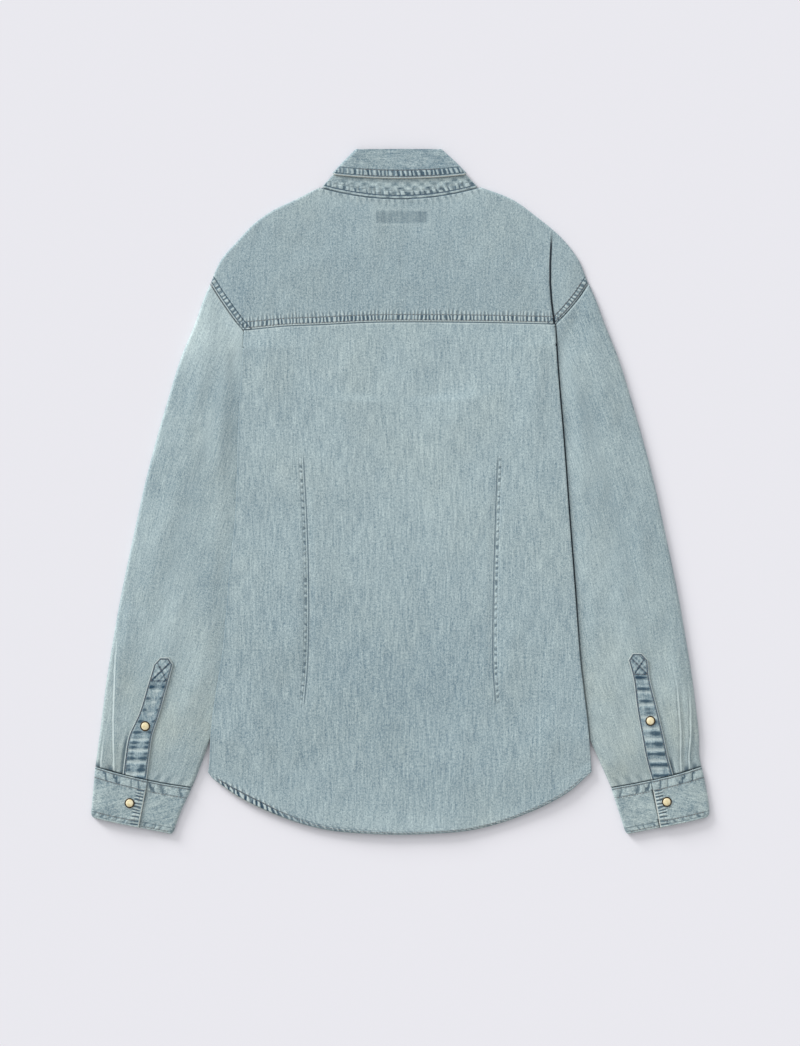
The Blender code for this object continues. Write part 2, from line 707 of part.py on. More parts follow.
def stand_half(level):
    return np.array([
        collar_curve((0.0, FRONT_NECK_Y + 0.6), 0.04, BACK_NECK_Y + SEAM, 2.0, level, STAND_BACK,
                     6, 5, 4, overlap=13.0),
        collar_curve((0.0, FRONT_NECK_Y + STAND_HEIGHT / 2), 0.325, BACK_NECK_Y + STAND_HEIGHT / 2,
                     2.0, level, STAND_BACK, 6, 5, 4, overlap=13.0),
        collar_curve((0.0, FRONT_NECK_Y + STAND_HEIGHT), STAND_TOP_PART, BACK_NECK_Y + STAND_HEIGHT,
                     2.0, level, STAND_BACK, 6, 5, 4, overlap=13.0)])


upper = stand_half(level_upper)
lower = mirror(stand_half(level_lower))
sheet("collar_stand", np.concatenate([lower, upper[:, -2::-1]], axis=1), denim_collar)


def leaf_half(level):
    radius = (LEAF_BACK - STAND_BACK) / 2
    n = (6, 6, 4)
    seam_end = (COLLAR_GAP_HALF, FRONT_NECK_Y + STAND_HEIGHT + 1.0)
    base_end = (COLLAR_GAP_HALF, FRONT_NECK_Y + STAND_HEIGHT + 4.0)
    base = (base_end, 0.975, COLLAR_TOP_Y - radius, 2.0)
    seam = np.array(collar_curve(seam_end, STAND_TOP_PART + 0.05,
                                 BACK_NECK_Y + STAND_HEIGHT + 0.6, 2.0, level, STAND_BACK, *n))
    low = np.array(collar_curve(*base, level, STAND_BACK, *n))
    high = np.array(collar_curve(*base, lambda x: ON_SURFACE, LEAF_BACK, *n))
    over = low - seam
    over[:, 2] = 0
    over /= np.linalg.norm(over, axis=1)[:, None]
    half = (low - high) / 2
    r = np.linalg.norm(half, axis=1)[:, None]
    lines = [seam, low]
    for a in (40, 90, 140):
        a = math.radians(a)
        lines.append((low + high) / 2 + half * math.cos(a) + over * r * math.sin(a))
    lines.append(high)
    start = np.array(base_end)
    for w, part, y in ((0.5, 0.66, 378.0), (1.0, LEAF_EDGE_PART, LEAF_EDGE_Y)):
        p = start + (LEAF_POINT - start) * w
        lines.append(np.array(collar_curve(tuple(p), part, y, 2.0, lambda x: ON_SURFACE,
                                           LEAF_BACK, *n)))
    return np.array(lines)


leaf_right = leaf_half(level_upper)
leaf_left = mirror(leaf_half(level_lower))
sheet("collar_leaf", np.concatenate([leaf_left, leaf_right[:, -2::-1]], axis=1), denim_collar)


# ---- snaps ----
SEGMENTS = 16


def turned(name, profile, x, y, z, up, mat):
    """Turned piece: a (radius, height) profile, top to bottom on its outer side."""
    loop = profile[0][0] > 0
    edges = [(k, k + 1) for k in range(len(profile) - 1)] + ([(len(profile) - 1, 0)] if loop else [])
    mesh = bpy.data.meshes.new(name)
    mesh.from_pydata([(rad * MM, 0, h * MM) for rad, h in profile], edges, [])
    mesh.materials.append(mat)
    ob = bpy.data.objects.new(name, mesh)
    collection.objects.link(ob)
    ob.location = (x * MM, y * MM, z * MM)
    if up < 0:
        ob.rotation_euler = (math.pi, 0, 0)
    screw = ob.modifiers.new("turn", "SCREW")
    screw.steps = screw.render_steps = SEGMENTS
    screw.use_merge_vertices = True
    screw.merge_threshold = 0.00001
    screw.use_smooth_shade = True


def snap(name, x, y, z, up):
    r, b = SNAP_RADIUS, SNAP_BEZEL
    rim = [(r - b, 1.0), (r - 0.5, 1.1), (r, 0.6), (r - 0.2, 0.0), (r - b, 0.0)]
    turned(name + "_rim", rim, x, y, z, up, snap_metal)
    c = r - b - 0.3
    cap = [(0, 1.3), (c - 1.8, 1.22), (c, 0.85), (c, 0.0), (0, 0.0)]
    turned(name + "_cap", cap, x, y, z, up, snap_pearl)


cloth_top = CLOTH / 2 + 0.3
for side, sx in (("right", 1), ("left", -1)):
    z = height_on(strip, *SLEEVE_SNAP)
    spread = [height_on(strip, SLEEVE_SNAP.x + 5 * math.cos(a), SLEEVE_SNAP.y + 5 * math.sin(a))
              for a in np.linspace(0, 6.28, 9)]
    snap("snap_sleeve_" + side, sx * SLEEVE_SNAP.x, SLEEVE_SNAP.y, max(spread) + cloth_top, 1)
    spread = [height_on(cuff_grid, CUFF_SNAP.x + 5 * math.cos(a), CUFF_SNAP.y + 5 * math.sin(a))
              for a in np.linspace(0, 6.28, 9)]
    snap("snap_cuff_" + side, sx * CUFF_SNAP.x, CUFF_SNAP.y, max(spread) + cloth_top, 1)
face = 1.3
for k, y in enumerate(FRONT_SNAP_Y):
    snap(f"snap_front_{k + 1}", 0.0, y, face, -1)
snap("snap_stand", 0.0, STAND_SNAP_Y, face, -1)
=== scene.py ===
"""Washed denim shirt, laid flat on its front: the visual model.

Lengths are in millimetres and are turned into metres by MM.  The panels repeat
the sizes of the CAD sheets, on finer grids, with creases, puckers and thread.
"""
import math
from collections import namedtuple

import bpy
import numpy as np
from mathutils.kdtree import KDTree
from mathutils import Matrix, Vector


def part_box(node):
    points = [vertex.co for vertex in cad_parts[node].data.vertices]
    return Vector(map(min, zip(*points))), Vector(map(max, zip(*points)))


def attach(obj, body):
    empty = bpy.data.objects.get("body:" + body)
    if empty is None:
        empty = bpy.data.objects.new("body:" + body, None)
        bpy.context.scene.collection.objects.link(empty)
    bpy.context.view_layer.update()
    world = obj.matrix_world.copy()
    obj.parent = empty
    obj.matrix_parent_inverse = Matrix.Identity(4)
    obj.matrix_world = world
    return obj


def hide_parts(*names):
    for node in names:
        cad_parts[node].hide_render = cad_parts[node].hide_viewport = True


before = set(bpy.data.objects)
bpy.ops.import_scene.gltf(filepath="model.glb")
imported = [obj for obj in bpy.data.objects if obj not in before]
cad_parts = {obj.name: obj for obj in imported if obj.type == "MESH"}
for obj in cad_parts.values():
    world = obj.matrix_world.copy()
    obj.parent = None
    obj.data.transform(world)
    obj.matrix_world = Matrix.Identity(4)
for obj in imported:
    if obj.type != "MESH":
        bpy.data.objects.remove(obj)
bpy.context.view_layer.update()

MM = 0.001
SIDES = (("right", False), ("left", True))
At = namedtuple("At", "y value")
Pt = namedtuple("Pt", "x y")

# ---------------------------------------------------------------- camera
VIEW_LONG_SIDE = 1.2029           # metres covered by the picture's long side
camera_data = bpy.data.cameras.new("camera")
camera_data.lens = 100
camera_data.sensor_width = 36
camera = bpy.data.objects.new("camera", camera_data)
camera.location = (0.0006, -0.0357, VIEW_LONG_SIDE / 0.36 + 0.003)
bpy.context.scene.collection.objects.link(camera)
bpy.context.scene.camera = camera
bpy.context.scene.view_settings.view_transform = "Standard"

# ---------------------------------------------------------------- sizes
CLOTH = 0.9            # a panel's thickness
ON_SURFACE = 0.5       # levels of the sheets' middles above the floor
PLACKET_LEVEL = 2.1
UNDERLAP_LEVEL = 3.5
FRONT_FOLD = 0.75
BACK_FOLD = 0.75
SLEEVE_UNDER = 3.5
SLEEVE_OVER = 5.1
SLEEVE_FREE = 4.5
SLEEVE_CROWN = 2.6
BACK_SIDE = 8.1
BACK_MIDDLE = 6.0
BACK_YOKE_END = 5.6
BACK_HEM_SIDE = 5.1
STAND_BACK = 4.9
LEAF_BACK = 6.9
PLACKET_HALF = 16.0
NECK_HALF = 91.5
NECK_SIDE_Y = 350.0
NECK_FRONT_HALF = 89.0
BACK_NECK_Y = 337.0
FRONT_NECK_Y = 262.0
STAND_HEIGHT = 38.0
COLLAR_TOP_Y = 394.6
COLLAR_TOP_HALF = 50.5
LEAF_EDGE_Y = 360.0
YOKE_Y = 195.5
YOKE_BOW = 2.5
HEM_Y = -394.2
UNDERARM_Y = 105.0
FOLD_START_Y = 168.0
HEM_BLEND_Y = -270.0

BODY_HALF = [At(-400, 223), At(-322, 219.5), At(-278, 216.8), At(-190, 206.5),
             At(-118, 200.5), At(-35, 193.5), At(71, 186.5), At(150, 180.5), At(202, 177.5)]
ARMHOLE_HIDDEN = [At(105, 81), At(109, 105), At(117, 130), At(129, 150),
                  At(143, 162), At(157, 170), At(168, 173.5)]
TURNED_IN = [At(-400, 9), At(-300, 10), At(-250, 17), At(-200, 29), At(-100, 54),
             At(0, 79), At(105, 104)]
BACK_SIDE_LEVEL = [At(-400, BACK_HEM_SIDE), At(-322, BACK_HEM_SIDE), At(-285, BACK_SIDE),
                   At(168, BACK_SIDE), At(179, 6.8), At(193, BACK_YOKE_END)]
HEM = [At(0, HEM_Y), At(36, -393), At(84.5, -388.5), At(116.7, -380.5), At(145.5, -370),
       At(173, -357.5), At(197, -343), At(219.5, -323), At(245, -303)]
SHOULDER_EDGE = [Pt(92, 350), Pt(111.6, 342.5), Pt(126.5, 335.8), Pt(161.6, 312.8),
                 Pt(188, 289.8), Pt(205.3, 266.8), Pt(217.0, 239.4)]
ARMHOLE_BACK = [Pt(179.6, 193.0), Pt(188.0, 201.9), Pt(198.2, 213.4), Pt(208.3, 226.2),
                Pt(217.0, 239.4)]
FRONT_YOKE_SEAM = [Pt(80.0, 311.4), Pt(112, 300), Pt(140, 283), Pt(163, 259), Pt(180, 229),
                   Pt(189.5, 204)]
SLEEVE_OUTER = [Pt(217.5, 238.95), Pt(225.4, 220.8), Pt(233.8, 197.8), Pt(251.9, 151.8),
                Pt(266.2, 105.8), Pt(279.5, 59.8), Pt(291.5, 13.8), Pt(301.8, -32.2),
                Pt(311.7, -78.2), Pt(321, -124.2), Pt(329, -170.2), Pt(336.5, -216.2),
                Pt(342.3, -262.2), Pt(349.4, -315.7)]
SLEEVE_INNER = [Pt(84.5, 105), Pt(119, 20), Pt(154, -90), Pt(184, -190), Pt(207, -258),
                Pt(219, -284), Pt(232, -313), Pt(243.8, -339.9)]
CUFF_SEAM = [Pt(243.8, -339.9), Pt(267, -335.8), Pt(290.6, -331), Pt(320, -324),
             Pt(349.4, -315.7)]
CUFF_END = [Pt(261.0, -393.4), Pt(299.5, -385.8), Pt(330, -379.6), Pt(354.6, -373.8)]
CUFF_LAP_TOP = 289.0
CUFF_LAP_END = 299.6
CUFF_UNDERLAP = 25.0
CUFF_CORNER = 5.0
Strip = namedtuple("Strip", "y inner outer")
SLEEVE_PLACKET = {
    "right": [Strip(-331, 289.6, 314.5), Strip(-299, 281.2, 307.6), Strip(-286, 278.9, 304.8),
              Strip(-250, 272.5, 296.5), Strip(-209, 266.7, 286.8), Strip(-193, 262.2, 285.4)],
    "left": [Strip(-331, 290.4, 318), Strip(-300, 286.3, 314.8), Strip(-280, 283.4, 311.0),
             Strip(-257, 276, 300.5), Strip(-220, 265.7, 289.0), Strip(-198, 259.8, 282.3)]}
PLACKET_BOX = {"right": -209.5, "left": -217.0}      # the line across under the crossed box
SNAPS = {"snap_sleeve_left": Pt(-292.0, -268.9), "snap_sleeve_right": Pt(287.9, -262.8),
         "snap_cuff_left": Pt(-310.0, -357.4), "snap_cuff_right": Pt(307.0, -356.0)}
DART = [Pt(111.8, 44), Pt(108.5, -31), Pt(106.5, -105), Pt(106, -155), Pt(107, -205),
        Pt(110.4, -247)]
HOLE = ([Pt(84.5, 105), Pt(107, 109), Pt(131, 117), Pt(151, 129), Pt(164, 143), Pt(173, 157),
         Pt(179.2, 168), Pt(179.6, 180)] + [Pt(p.x + 0.3, p.y - 0.3) for p in ARMHOLE_BACK])
LAP = 1.4
MIDDLE = (SLEEVE_UNDER + SLEEVE_OVER) / 2       # the side seam's level
HEM_SEAM_LEVEL = 2.75
SEAM_FLAT_X = 176                               # the yoke seam's level stops changing here
ABOVE_ALL = 999.0

# soft creases, listed: middle, direction in degrees, half length, half width, rise
Crease = namedtuple("Crease", "x y turn length width rise")
BODY_CREASES = [
    Crease(-150, 120, 100, 90, 15, 0.9), Crease(152, 96, 82, 100, 13, 1.0),
    Crease(-60, 40, 92, 150, 22, 0.7), Crease(48, -30, 88, 170, 24, 0.7),
    Crease(-120, -170, 95, 90, 14, 0.8), Crease(126, -190, 84, 80, 13, 0.8),
    Crease(-20, -250, 90, 110, 18, 0.8), Crease(70, -300, 84, 70, 15, 0.9),
    Crease(-160, -300, 100, 60, 13, 1.0), Crease(170, -290, 80, 55, 12, 0.9),
    Crease(4, 120, 90, 80, 26, 0.6), Crease(-100, 265, 20, 60, 14, 0.6),
    Crease(110, 262, 158, 64, 15, 0.7), Crease(-30, 300, 95, 40, 16, 0.4)]
SLEEVE_CREASES = [
    Crease(232, 120, 105, 90, 10, 1.1), Crease(252, 20, 104, 110, 12, 1.2),
    Crease(282, -90, 101, 100, 11, 1.1), Crease(262, -160, 100, 80, 10, 1.0),
    Crease(318, -190, 98, 80, 9, 1.0), Crease(246, -250, 112, 55, 8, 0.9),
    Crease(222, 205, 130, 30, 8, 0.8), Crease(210, 60, 100, 80, 9, 0.8)]
TUCKS = {   # the folds of the two tucks above each cuff, from the top down
    "right": [[Pt(314, -190), Pt(320.5, -225), Pt(324.5, -277), Pt(325.6, -322)],
              [Pt(332, -205), Pt(335, -232), Pt(336.2, -280), Pt(336.4, -319)]],
    "left": [[Pt(321, -150), Pt(325.2, -195), Pt(327.4, -262), Pt(326.8, -322)],
             [Pt(336.5, -262), Pt(339.2, -288), Pt(342.2, -318)]]}

# how the shirt lies a little askew: a shift about a place, with its reach each way
Shift = namedtuple("Shift", "x y dx dy wide tall")
SHIFTS = [
    Shift(-182, 192, 0, -6.4, 45, 26), Shift(-100, 195, 0, -2.6, 50, 22),
    Shift(-122, 336, 4.0, -1.5, 26, 20), Shift(-186, 288, 4.0, 0.5, 24, 20),
    Shift(125, 338, 2.4, 0.6, 30, 20), Shift(-240, -338, 4.4, 0, 22, 26),
    Shift(-215, -332, -3.0, -0.6, 9, 12), Shift(347, -306, -3.2, 0, 20, 20),
    Shift(353, -362, 2.0, 0.6, 22, 22), Shift(-194, -20, 3.6, 0, 30, 80),
    Shift(-206, -160, 2.6, 0, 30, 60), Shift(194, -20, 0.7, 0, 30, 90),
    Shift(-233, -300, 2.6, 0, 14, 24), Shift(0, -70, 2.8, 0, 185, 150),
    Shift(50, 393, -2.6, 0, 16, 16), Shift(-50, 393, 1.0, 0, 14, 14)]


def settle(x, y):
    dx, dy = 0, 0
    for k in SHIFTS:
        w = np.exp(-((x - k.x) / k.wide) ** 2 - ((y - k.y) / k.tall) ** 2)
        dx, dy = dx + k.dx * w, dy + k.dy * w
    return x + dx, y + dy


# ---------------------------------------------------------------- curves
def xyz(*parts):
    """Arrays side by side along a new last axis."""
    return np.stack(parts, -1)


def spline(xs, ys):
    xs, ys = np.asarray(xs, float), np.asarray(ys, float)
    slope = np.gradient(ys, xs)

    def value(v):
        v = np.asarray(v, float)
        i = np.clip(np.searchsorted(xs, v) - 1, 0, len(xs) - 2)
        h = xs[i + 1] - xs[i]
        t = np.clip((v - xs[i]) / h, 0, 1)
        return ((2 * t**3 - 3 * t**2 + 1) * ys[i] + (t**3 - 2 * t**2 + t) * h * slope[i]
                + (3 * t**2 - 2 * t**3) * ys[i + 1] + (t**3 - t**2) * h * slope[i + 1])
    return value


def table(rows):
    return spline([r[0] for r in rows], [r[1] for r in rows])


def path(points):
    """Curve through the points; its argument runs 0 to 1 by length."""
    p = np.array([(q[0], q[1]) for q in points], float)
    d = np.r_[0, np.cumsum(np.hypot(*np.diff(p, axis=0).T))]
    fx, fy = spline(d / d[-1], p[:, 0]), spline(d / d[-1], p[:, 1])
    return lambda t: xyz(fx(t), fy(t))


def smooth(t):
    t = np.clip(t, 0, 1)
    return t * t * (3 - 2 * t)


def waves(seed, count, lengths):
    """Sum of plane waves with fixed random directions, for slow uneven ground; about -1 to 1."""
    rng = np.random.default_rng(seed)
    turn = rng.uniform(0, math.pi, count)
    size = rng.uniform(lengths[0], lengths[1], count)
    shift = rng.uniform(0, 2 * math.pi, count)

    def value(x, y):
        total = 0
        for a, w, p in zip(turn, size, shift):
            total = total + np.sin((x * math.cos(a) + y * math.sin(a)) * 2 * math.pi / w + p)
        return total / math.sqrt(count)
    return value


def crease_rise(creases, x, y):
    total = np.zeros_like(np.asarray(x, float))
    for c in creases:
        a = math.radians(c.turn)
        dx, dy = x - c.x, y - c.y
        along = dx * math.cos(a) + dy * math.sin(a)
        across = -dx * math.sin(a) + dy * math.cos(a)
        across = across + 0.12 * c.length * (along / c.length) ** 2
        total = total + c.rise * np.exp(-(along / c.length) ** 2 * 1.6 - (across / c.width) ** 2)
    return total


body_half = table(BODY_HALF)
armhole_hidden = table(ARMHOLE_HIDDEN)
turned_below = table(TURNED_IN)
hem_y = table(HEM)
shoulder = path(SHOULDER_EDGE)
armhole = path(ARMHOLE_BACK)
front_seam = path(FRONT_YOKE_SEAM)
outer, inner = path(SLEEVE_OUTER), path(SLEEVE_INNER)
cuff_seam, cuff_end, hole = path(CUFF_SEAM), path(CUFF_END), path(HOLE)
ground = waves(3, 7, (60, 150))
fine_ground = waves(8, 9, (18, 45))


def side_level(y):
    return np.interp(y, [r.y for r in BACK_SIDE_LEVEL], [r.value for r in BACK_SIDE_LEVEL])


def turned_in(y):
    y = np.asarray(y, float)
    above = body_half(y) - armhole_hidden(np.clip(y, 105, 168))
    return np.where(y > UNDERARM_Y, np.where(y > FOLD_START_Y, 1.0, above), turned_below(y))


def yoke_seam_y(x):
    return YOKE_Y - YOKE_BOW * (np.asarray(x, float) / ARMHOLE_BACK[0].x) ** 2


def neck_back_y(x):
    return BACK_NECK_Y + (NECK_SIDE_Y - BACK_NECK_Y) * (np.asarray(x, float) / NECK_HALF) ** 2


def neck_front_y(x):
    return NECK_SIDE_Y - (NECK_SIDE_Y - FRONT_NECK_Y) * np.sqrt(
        np.clip(1 - (np.asarray(x, float) / NECK_FRONT_HALF) ** 2, 0, 1))


def neck_lift(x, y):
    return smooth((118 - np.abs(x)) / 30) * smooth((y - 200) / 34)


def front_level(x, y, underlap):
    x = np.asarray(x, float)
    rise = PLACKET_LEVEL - ON_SURFACE
    centre = ((UNDERLAP_LEVEL - ON_SURFACE) * smooth((62 - x) / 42) if underlap
              else rise * smooth((54 - x) / 36))
    return ON_SURFACE + np.maximum(centre, rise * neck_lift(x, y))


def back_level(x, y):
    ax = np.abs(np.asarray(x, float))
    inside = body_half(y) - turned_in(y)
    lift = smooth((ax - (inside - 84)) / 78)
    low = BACK_MIDDLE - 1.6 * smooth((ax - 45) / 40) * smooth((-300 - y) / 60)
    return low + (side_level(y) - low) * lift


def fold_step(x, y):
    """The yoke's fold on the right: it lies over the cloth outside the fold's line."""
    line = np.interp(y, [190, 202, 220, 240, 262, 300], [177.6, 176.4, 174.2, 172.8, 172.9, 174.6])
    fade = smooth((296 - y) / 60)
    return np.where(x > 0, fade * smooth((line + 0.5 - x) / 1.6), 1.0), x - line, fade


# ---------------------------------------------------------------- meshes
made = {}


def add_object(name, data):
    ob = bpy.data.objects.new(name, data)
    bpy.context.scene.collection.objects.link(ob)
    return ob


def add_piece(mesh, mat):
    """An object of the mesh's own name that rides on the one body."""
    mesh.materials.append(mat)
    ob = add_object(mesh.name, mesh)
    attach(ob, "root")
    return ob


def solid_piece(name, verts, faces, mat):
    """A smooth closed piece; verts are in millimetres."""
    mesh = bpy.data.meshes.new(name)
    mesh.from_pydata((np.array(verts) * MM).tolist(), [], faces)
    mesh.update()
    mesh.polygons.foreach_set("use_smooth", np.ones(len(faces), bool))
    return add_piece(mesh, mat)


def cloth_mesh(name, grid, mat, ring=False, keep=None, thickness=CLOTH, fields=None):
    """Cloth from a grid (rows, columns, xyz) in millimetres, with its point fields."""
    rows, cols = grid.shape[:2]
    wide = cols if ring else cols - 1
    i, j = np.meshgrid(np.arange(rows - 1), np.arange(wide), indexing="ij")
    j2 = (j + 1) % cols
    quads = xyz(i * cols + j, i * cols + j2, (i + 1) * cols + j2, (i + 1) * cols + j)
    quads = quads.reshape(-1, 4)
    if keep is not None:
        quads = quads[keep(i, j).reshape(-1)]
    used, flat = np.unique(quads, return_inverse=True)
    quads = flat.reshape(-1, 4)
    verts = grid.reshape(-1, 3)[used]
    verts[:, 0], verts[:, 1] = settle(verts[:, 0].copy(), verts[:, 1].copy())
    verts = verts * MM
    mesh = bpy.data.meshes.new(name)
    mesh.vertices.add(len(verts))
    mesh.vertices.foreach_set("co", verts.astype(np.float32).ravel())
    mesh.loops.add(quads.size)
    mesh.loops.foreach_set("vertex_index", quads.astype(np.int32).ravel())
    mesh.polygons.add(len(quads))
    mesh.polygons.foreach_set("loop_start", np.arange(0, quads.size, 4, dtype=np.int32))
    mesh.polygons.foreach_set("use_smooth", np.ones(len(quads), bool))
    mesh.update(calc_edges=True)
    mesh.validate()
    for key, value in (fields or {}).items():
        value = np.asarray(value, float)
        vector = value.ndim == 3
        att = mesh.attributes.new(key, "FLOAT_VECTOR" if vector else "FLOAT", "POINT")
        data = value.reshape(-1, 3)[used] if vector else value.reshape(-1)[used]
        att.data.foreach_set("vector" if vector else "value", data.astype(np.float32).ravel())
    ob = add_piece(mesh, mat)
    mod = ob.modifiers.new("cloth", "SOLIDIFY")
    mod.thickness = thickness * MM
    mod.offset = 0.0
    mod.use_even_offset = False
    mod.use_quality_normals = True
    made[name] = ob
    return ob


def mirror(grid):
    g = np.array(grid, float)
    g[..., 0] *= -1
    return g


def two_sides(half):
    return np.concatenate([mirror(half)[:, :0:-1], half], axis=1)


def on_side(flip, grid, fields):
    """A right-hand grid and its fields, or their mirror image for the left."""
    if not flip:
        return grid, fields
    return mirror(grid)[:, ::-1], {k: v[:, ::-1] for k, v in fields.items()}


def line_coords(x, y, line):
    """Signed distance from a line (its left is positive) and the length along it."""
    line = np.asarray(line, float)
    a, b = line[:-1], line[1:]
    d = b - a
    length = np.hypot(d[:, 0], d[:, 1])
    start = np.r_[0, np.cumsum(length)[:-1]]
    px, py = np.ravel(x), np.ravel(y)
    best, dist, along = np.full(px.shape, 1e9), np.zeros(px.shape), np.zeros(px.shape)
    for k in range(len(a)):
        rx, ry = px - a[k, 0], py - a[k, 1]
        t = (rx * d[k, 0] + ry * d[k, 1]) / length[k] ** 2
        tc = np.clip(t, 0 if k else -9, 1 if k < len(a) - 1 else 9)
        ex, ey = rx - tc * d[k, 0], ry - tc * d[k, 1]
        gap = ex * ex + ey * ey
        side = d[k, 0] * ry - d[k, 1] * rx
        near = gap < best
        best[near] = gap[near]
        dist[near] = np.sqrt(gap[near]) * np.sign(side[near])
        along[near] = start[k] + tc[near] * length[k]
    return dist.reshape(np.shape(x)), along.reshape(np.shape(x))


def offset_sign(line):
    """Positive where the left of a line across the back points up the garment."""
    return float(line[-1][0] - line[0][0])


# ---------------------------------------------------------------- seam lines (plan)
T = np.linspace(0, 1, 60)
YOKE_LINE = xyz(np.linspace(-179.6, 179.6, 80), yoke_seam_y(np.linspace(-179.6, 179.6, 80)))
ARMHOLE_LINE = armhole(np.linspace(0, 1, 30)) + np.array([0.15, -0.15])
NECK_LINE = xyz(np.linspace(-NECK_HALF, NECK_HALF, 60),
                neck_back_y(np.linspace(-NECK_HALF, NECK_HALF, 60)))
HEM_X = np.linspace(-219.5, 219.5, 90)
HEM_LINE = xyz(HEM_X, hem_y(np.abs(HEM_X)))
DART_LINE = path(DART)(np.linspace(0, 1, 30))
CUFF_TOP_LINE = cuff_seam(T)
CUFF_END_LINE = cuff_end(T)
CUFF_LAP_LINE = np.array([(CUFF_LAP_TOP - 0.2, -330.8), (CUFF_LAP_END, -386.2)])


def pucker(s, d, length, seed, slant=0.0):
    """Uneven ripple along a seam, -1 to 1."""
    rng = np.random.default_rng(seed)
    p = rng.uniform(0, 6.28, 4)
    phase = (s + slant * d) / length * 2 * math.pi
    phase = (phase + 1.3 * np.sin(s / (length * 3.7) + p[0])
             + 0.9 * np.sin(s / (length * 1.9) + p[1]))
    size = 0.65 + 0.35 * np.sin(s / (length * 2.6) + p[2])
    return np.sin(phase + p[3]) * size


def band(d, low, high, soft):
    return smooth((d - low) / soft + 0.5) * smooth((high - d) / soft + 0.5)


# ---------------------------------------------------------------- shader tools
class Node:
    """A socket that takes arithmetic, so that a material reads as a formula."""
    def __init__(self, tree, socket):
        self.tree, self.socket = tree, socket

    def math(self, op, other=None, clamp=False):
        n = self.tree.nodes.new("ShaderNodeMath")
        n.operation, n.use_clamp = op, clamp
        self.tree.links.new(self.socket, n.inputs[0])
        if isinstance(other, Node):
            self.tree.links.new(other.socket, n.inputs[1])
        elif other is not None:
            n.inputs[1].default_value = other
        return Node(self.tree, n.outputs[0])

    def __add__(self, o): return self.math("ADD", o)
    def __sub__(self, o): return self.math("SUBTRACT", o)
    def __mul__(self, o): return self.math("MULTIPLY", o)
    def __neg__(self): return self.math("MULTIPLY", -1.0)
    def sin(self): return self.math("SINE")
    def abs(self): return self.math("ABSOLUTE")
    def max(self, o): return self.math("MAXIMUM", o)
    def clamp(self): return self.math("ADD", 0.0, clamp=True)

    def ramp(self, low, high, to_low=0.0, to_high=1.0):
        n = self.tree.nodes.new("ShaderNodeMapRange")
        n.interpolation_type = "SMOOTHSTEP"
        self.tree.links.new(self.socket, n.inputs["Value"])
        ends = {"From Min": low, "From Max": high, "To Min": to_low, "To Max": to_high}
        for key, v in ends.items():
            n.inputs[key].default_value = v
        return Node(self.tree, n.outputs["Result"])


class Shader:
    def __init__(self, name):
        self.mat = bpy.data.materials.new(name)
        self.mat.use_nodes = True
        self.tree = self.mat.node_tree
        self.bsdf = self.tree.nodes["Principled BSDF"]

    def field(self, name):
        n = self.tree.nodes.new("ShaderNodeAttribute")
        n.attribute_name = name
        return n

    def parts(self, name):
        s = self.tree.nodes.new("ShaderNodeSeparateXYZ")
        self.tree.links.new(self.field(name).outputs["Vector"], s.inputs[0])
        return [Node(self.tree, s.outputs[k]) for k in range(3)]

    def value(self, name):
        return Node(self.tree, self.field(name).outputs["Fac"])

    def vector(self, x, y, z=0.0):
        n = self.tree.nodes.new("ShaderNodeCombineXYZ")
        for k, o in enumerate((x, y, z)):
            if isinstance(o, Node):
                self.tree.links.new(o.socket, n.inputs[k])
            else:
                n.inputs[k].default_value = o
        return n.outputs[0]

    def noise(self, vector, scale, detail=2.0, rough=0.5):
        n = self.tree.nodes.new("ShaderNodeTexNoise")
        self.tree.links.new(vector, n.inputs["Vector"])
        n.inputs["Scale"].default_value = scale
        n.inputs["Detail"].default_value = detail
        n.inputs["Roughness"].default_value = rough
        return Node(self.tree, n.outputs["Fac"])

    def mix(self, fac, a, b):
        n = self.tree.nodes.new("ShaderNodeMix")
        n.data_type = "RGBA"
        self.tree.links.new(fac.socket, n.inputs[0])
        for k, o in ((6, a), (7, b)):
            if isinstance(o, tuple):
                n.inputs[k].default_value = (*o, 1)
            else:
                self.tree.links.new(o, n.inputs[k])
        return n.outputs[2]

    def bump(self, height, strength, distance=0.001):
        n = self.tree.nodes.new("ShaderNodeBump")
        n.inputs["Strength"].default_value = strength
        n.inputs["Distance"].default_value = distance
        self.tree.links.new(height.socket, n.inputs["Height"])
        self.tree.links.new(n.outputs[0], self.bsdf.inputs["Normal"])


# washed denim tones, linear
PALE = (0.62, 0.71, 0.69)
LIGHT = (0.545, 0.655, 0.655)
MIDTONE = (0.160, 0.240, 0.290)
INDIGO = (0.028, 0.066, 0.102)
WORN = (0.70, 0.71, 0.64)
WARM_MIDTONE, WARM_LIGHT = (0.175, 0.240, 0.262), (0.585, 0.665, 0.615)
IN_SHADE = (0.012, 0.018, 0.026)
DENIM_SURFACE = {"Roughness": 0.92, "Specular IOR Level": 0.12, "Sheen Weight": 0.18,
                 "Sheen Roughness": 0.5, "Sheen Tint": (0.8, 0.9, 1.0, 1.0)}
WALE, YARN = 1.0, 0.62            # spacing of the twill's diagonals and of its yarns, in mm

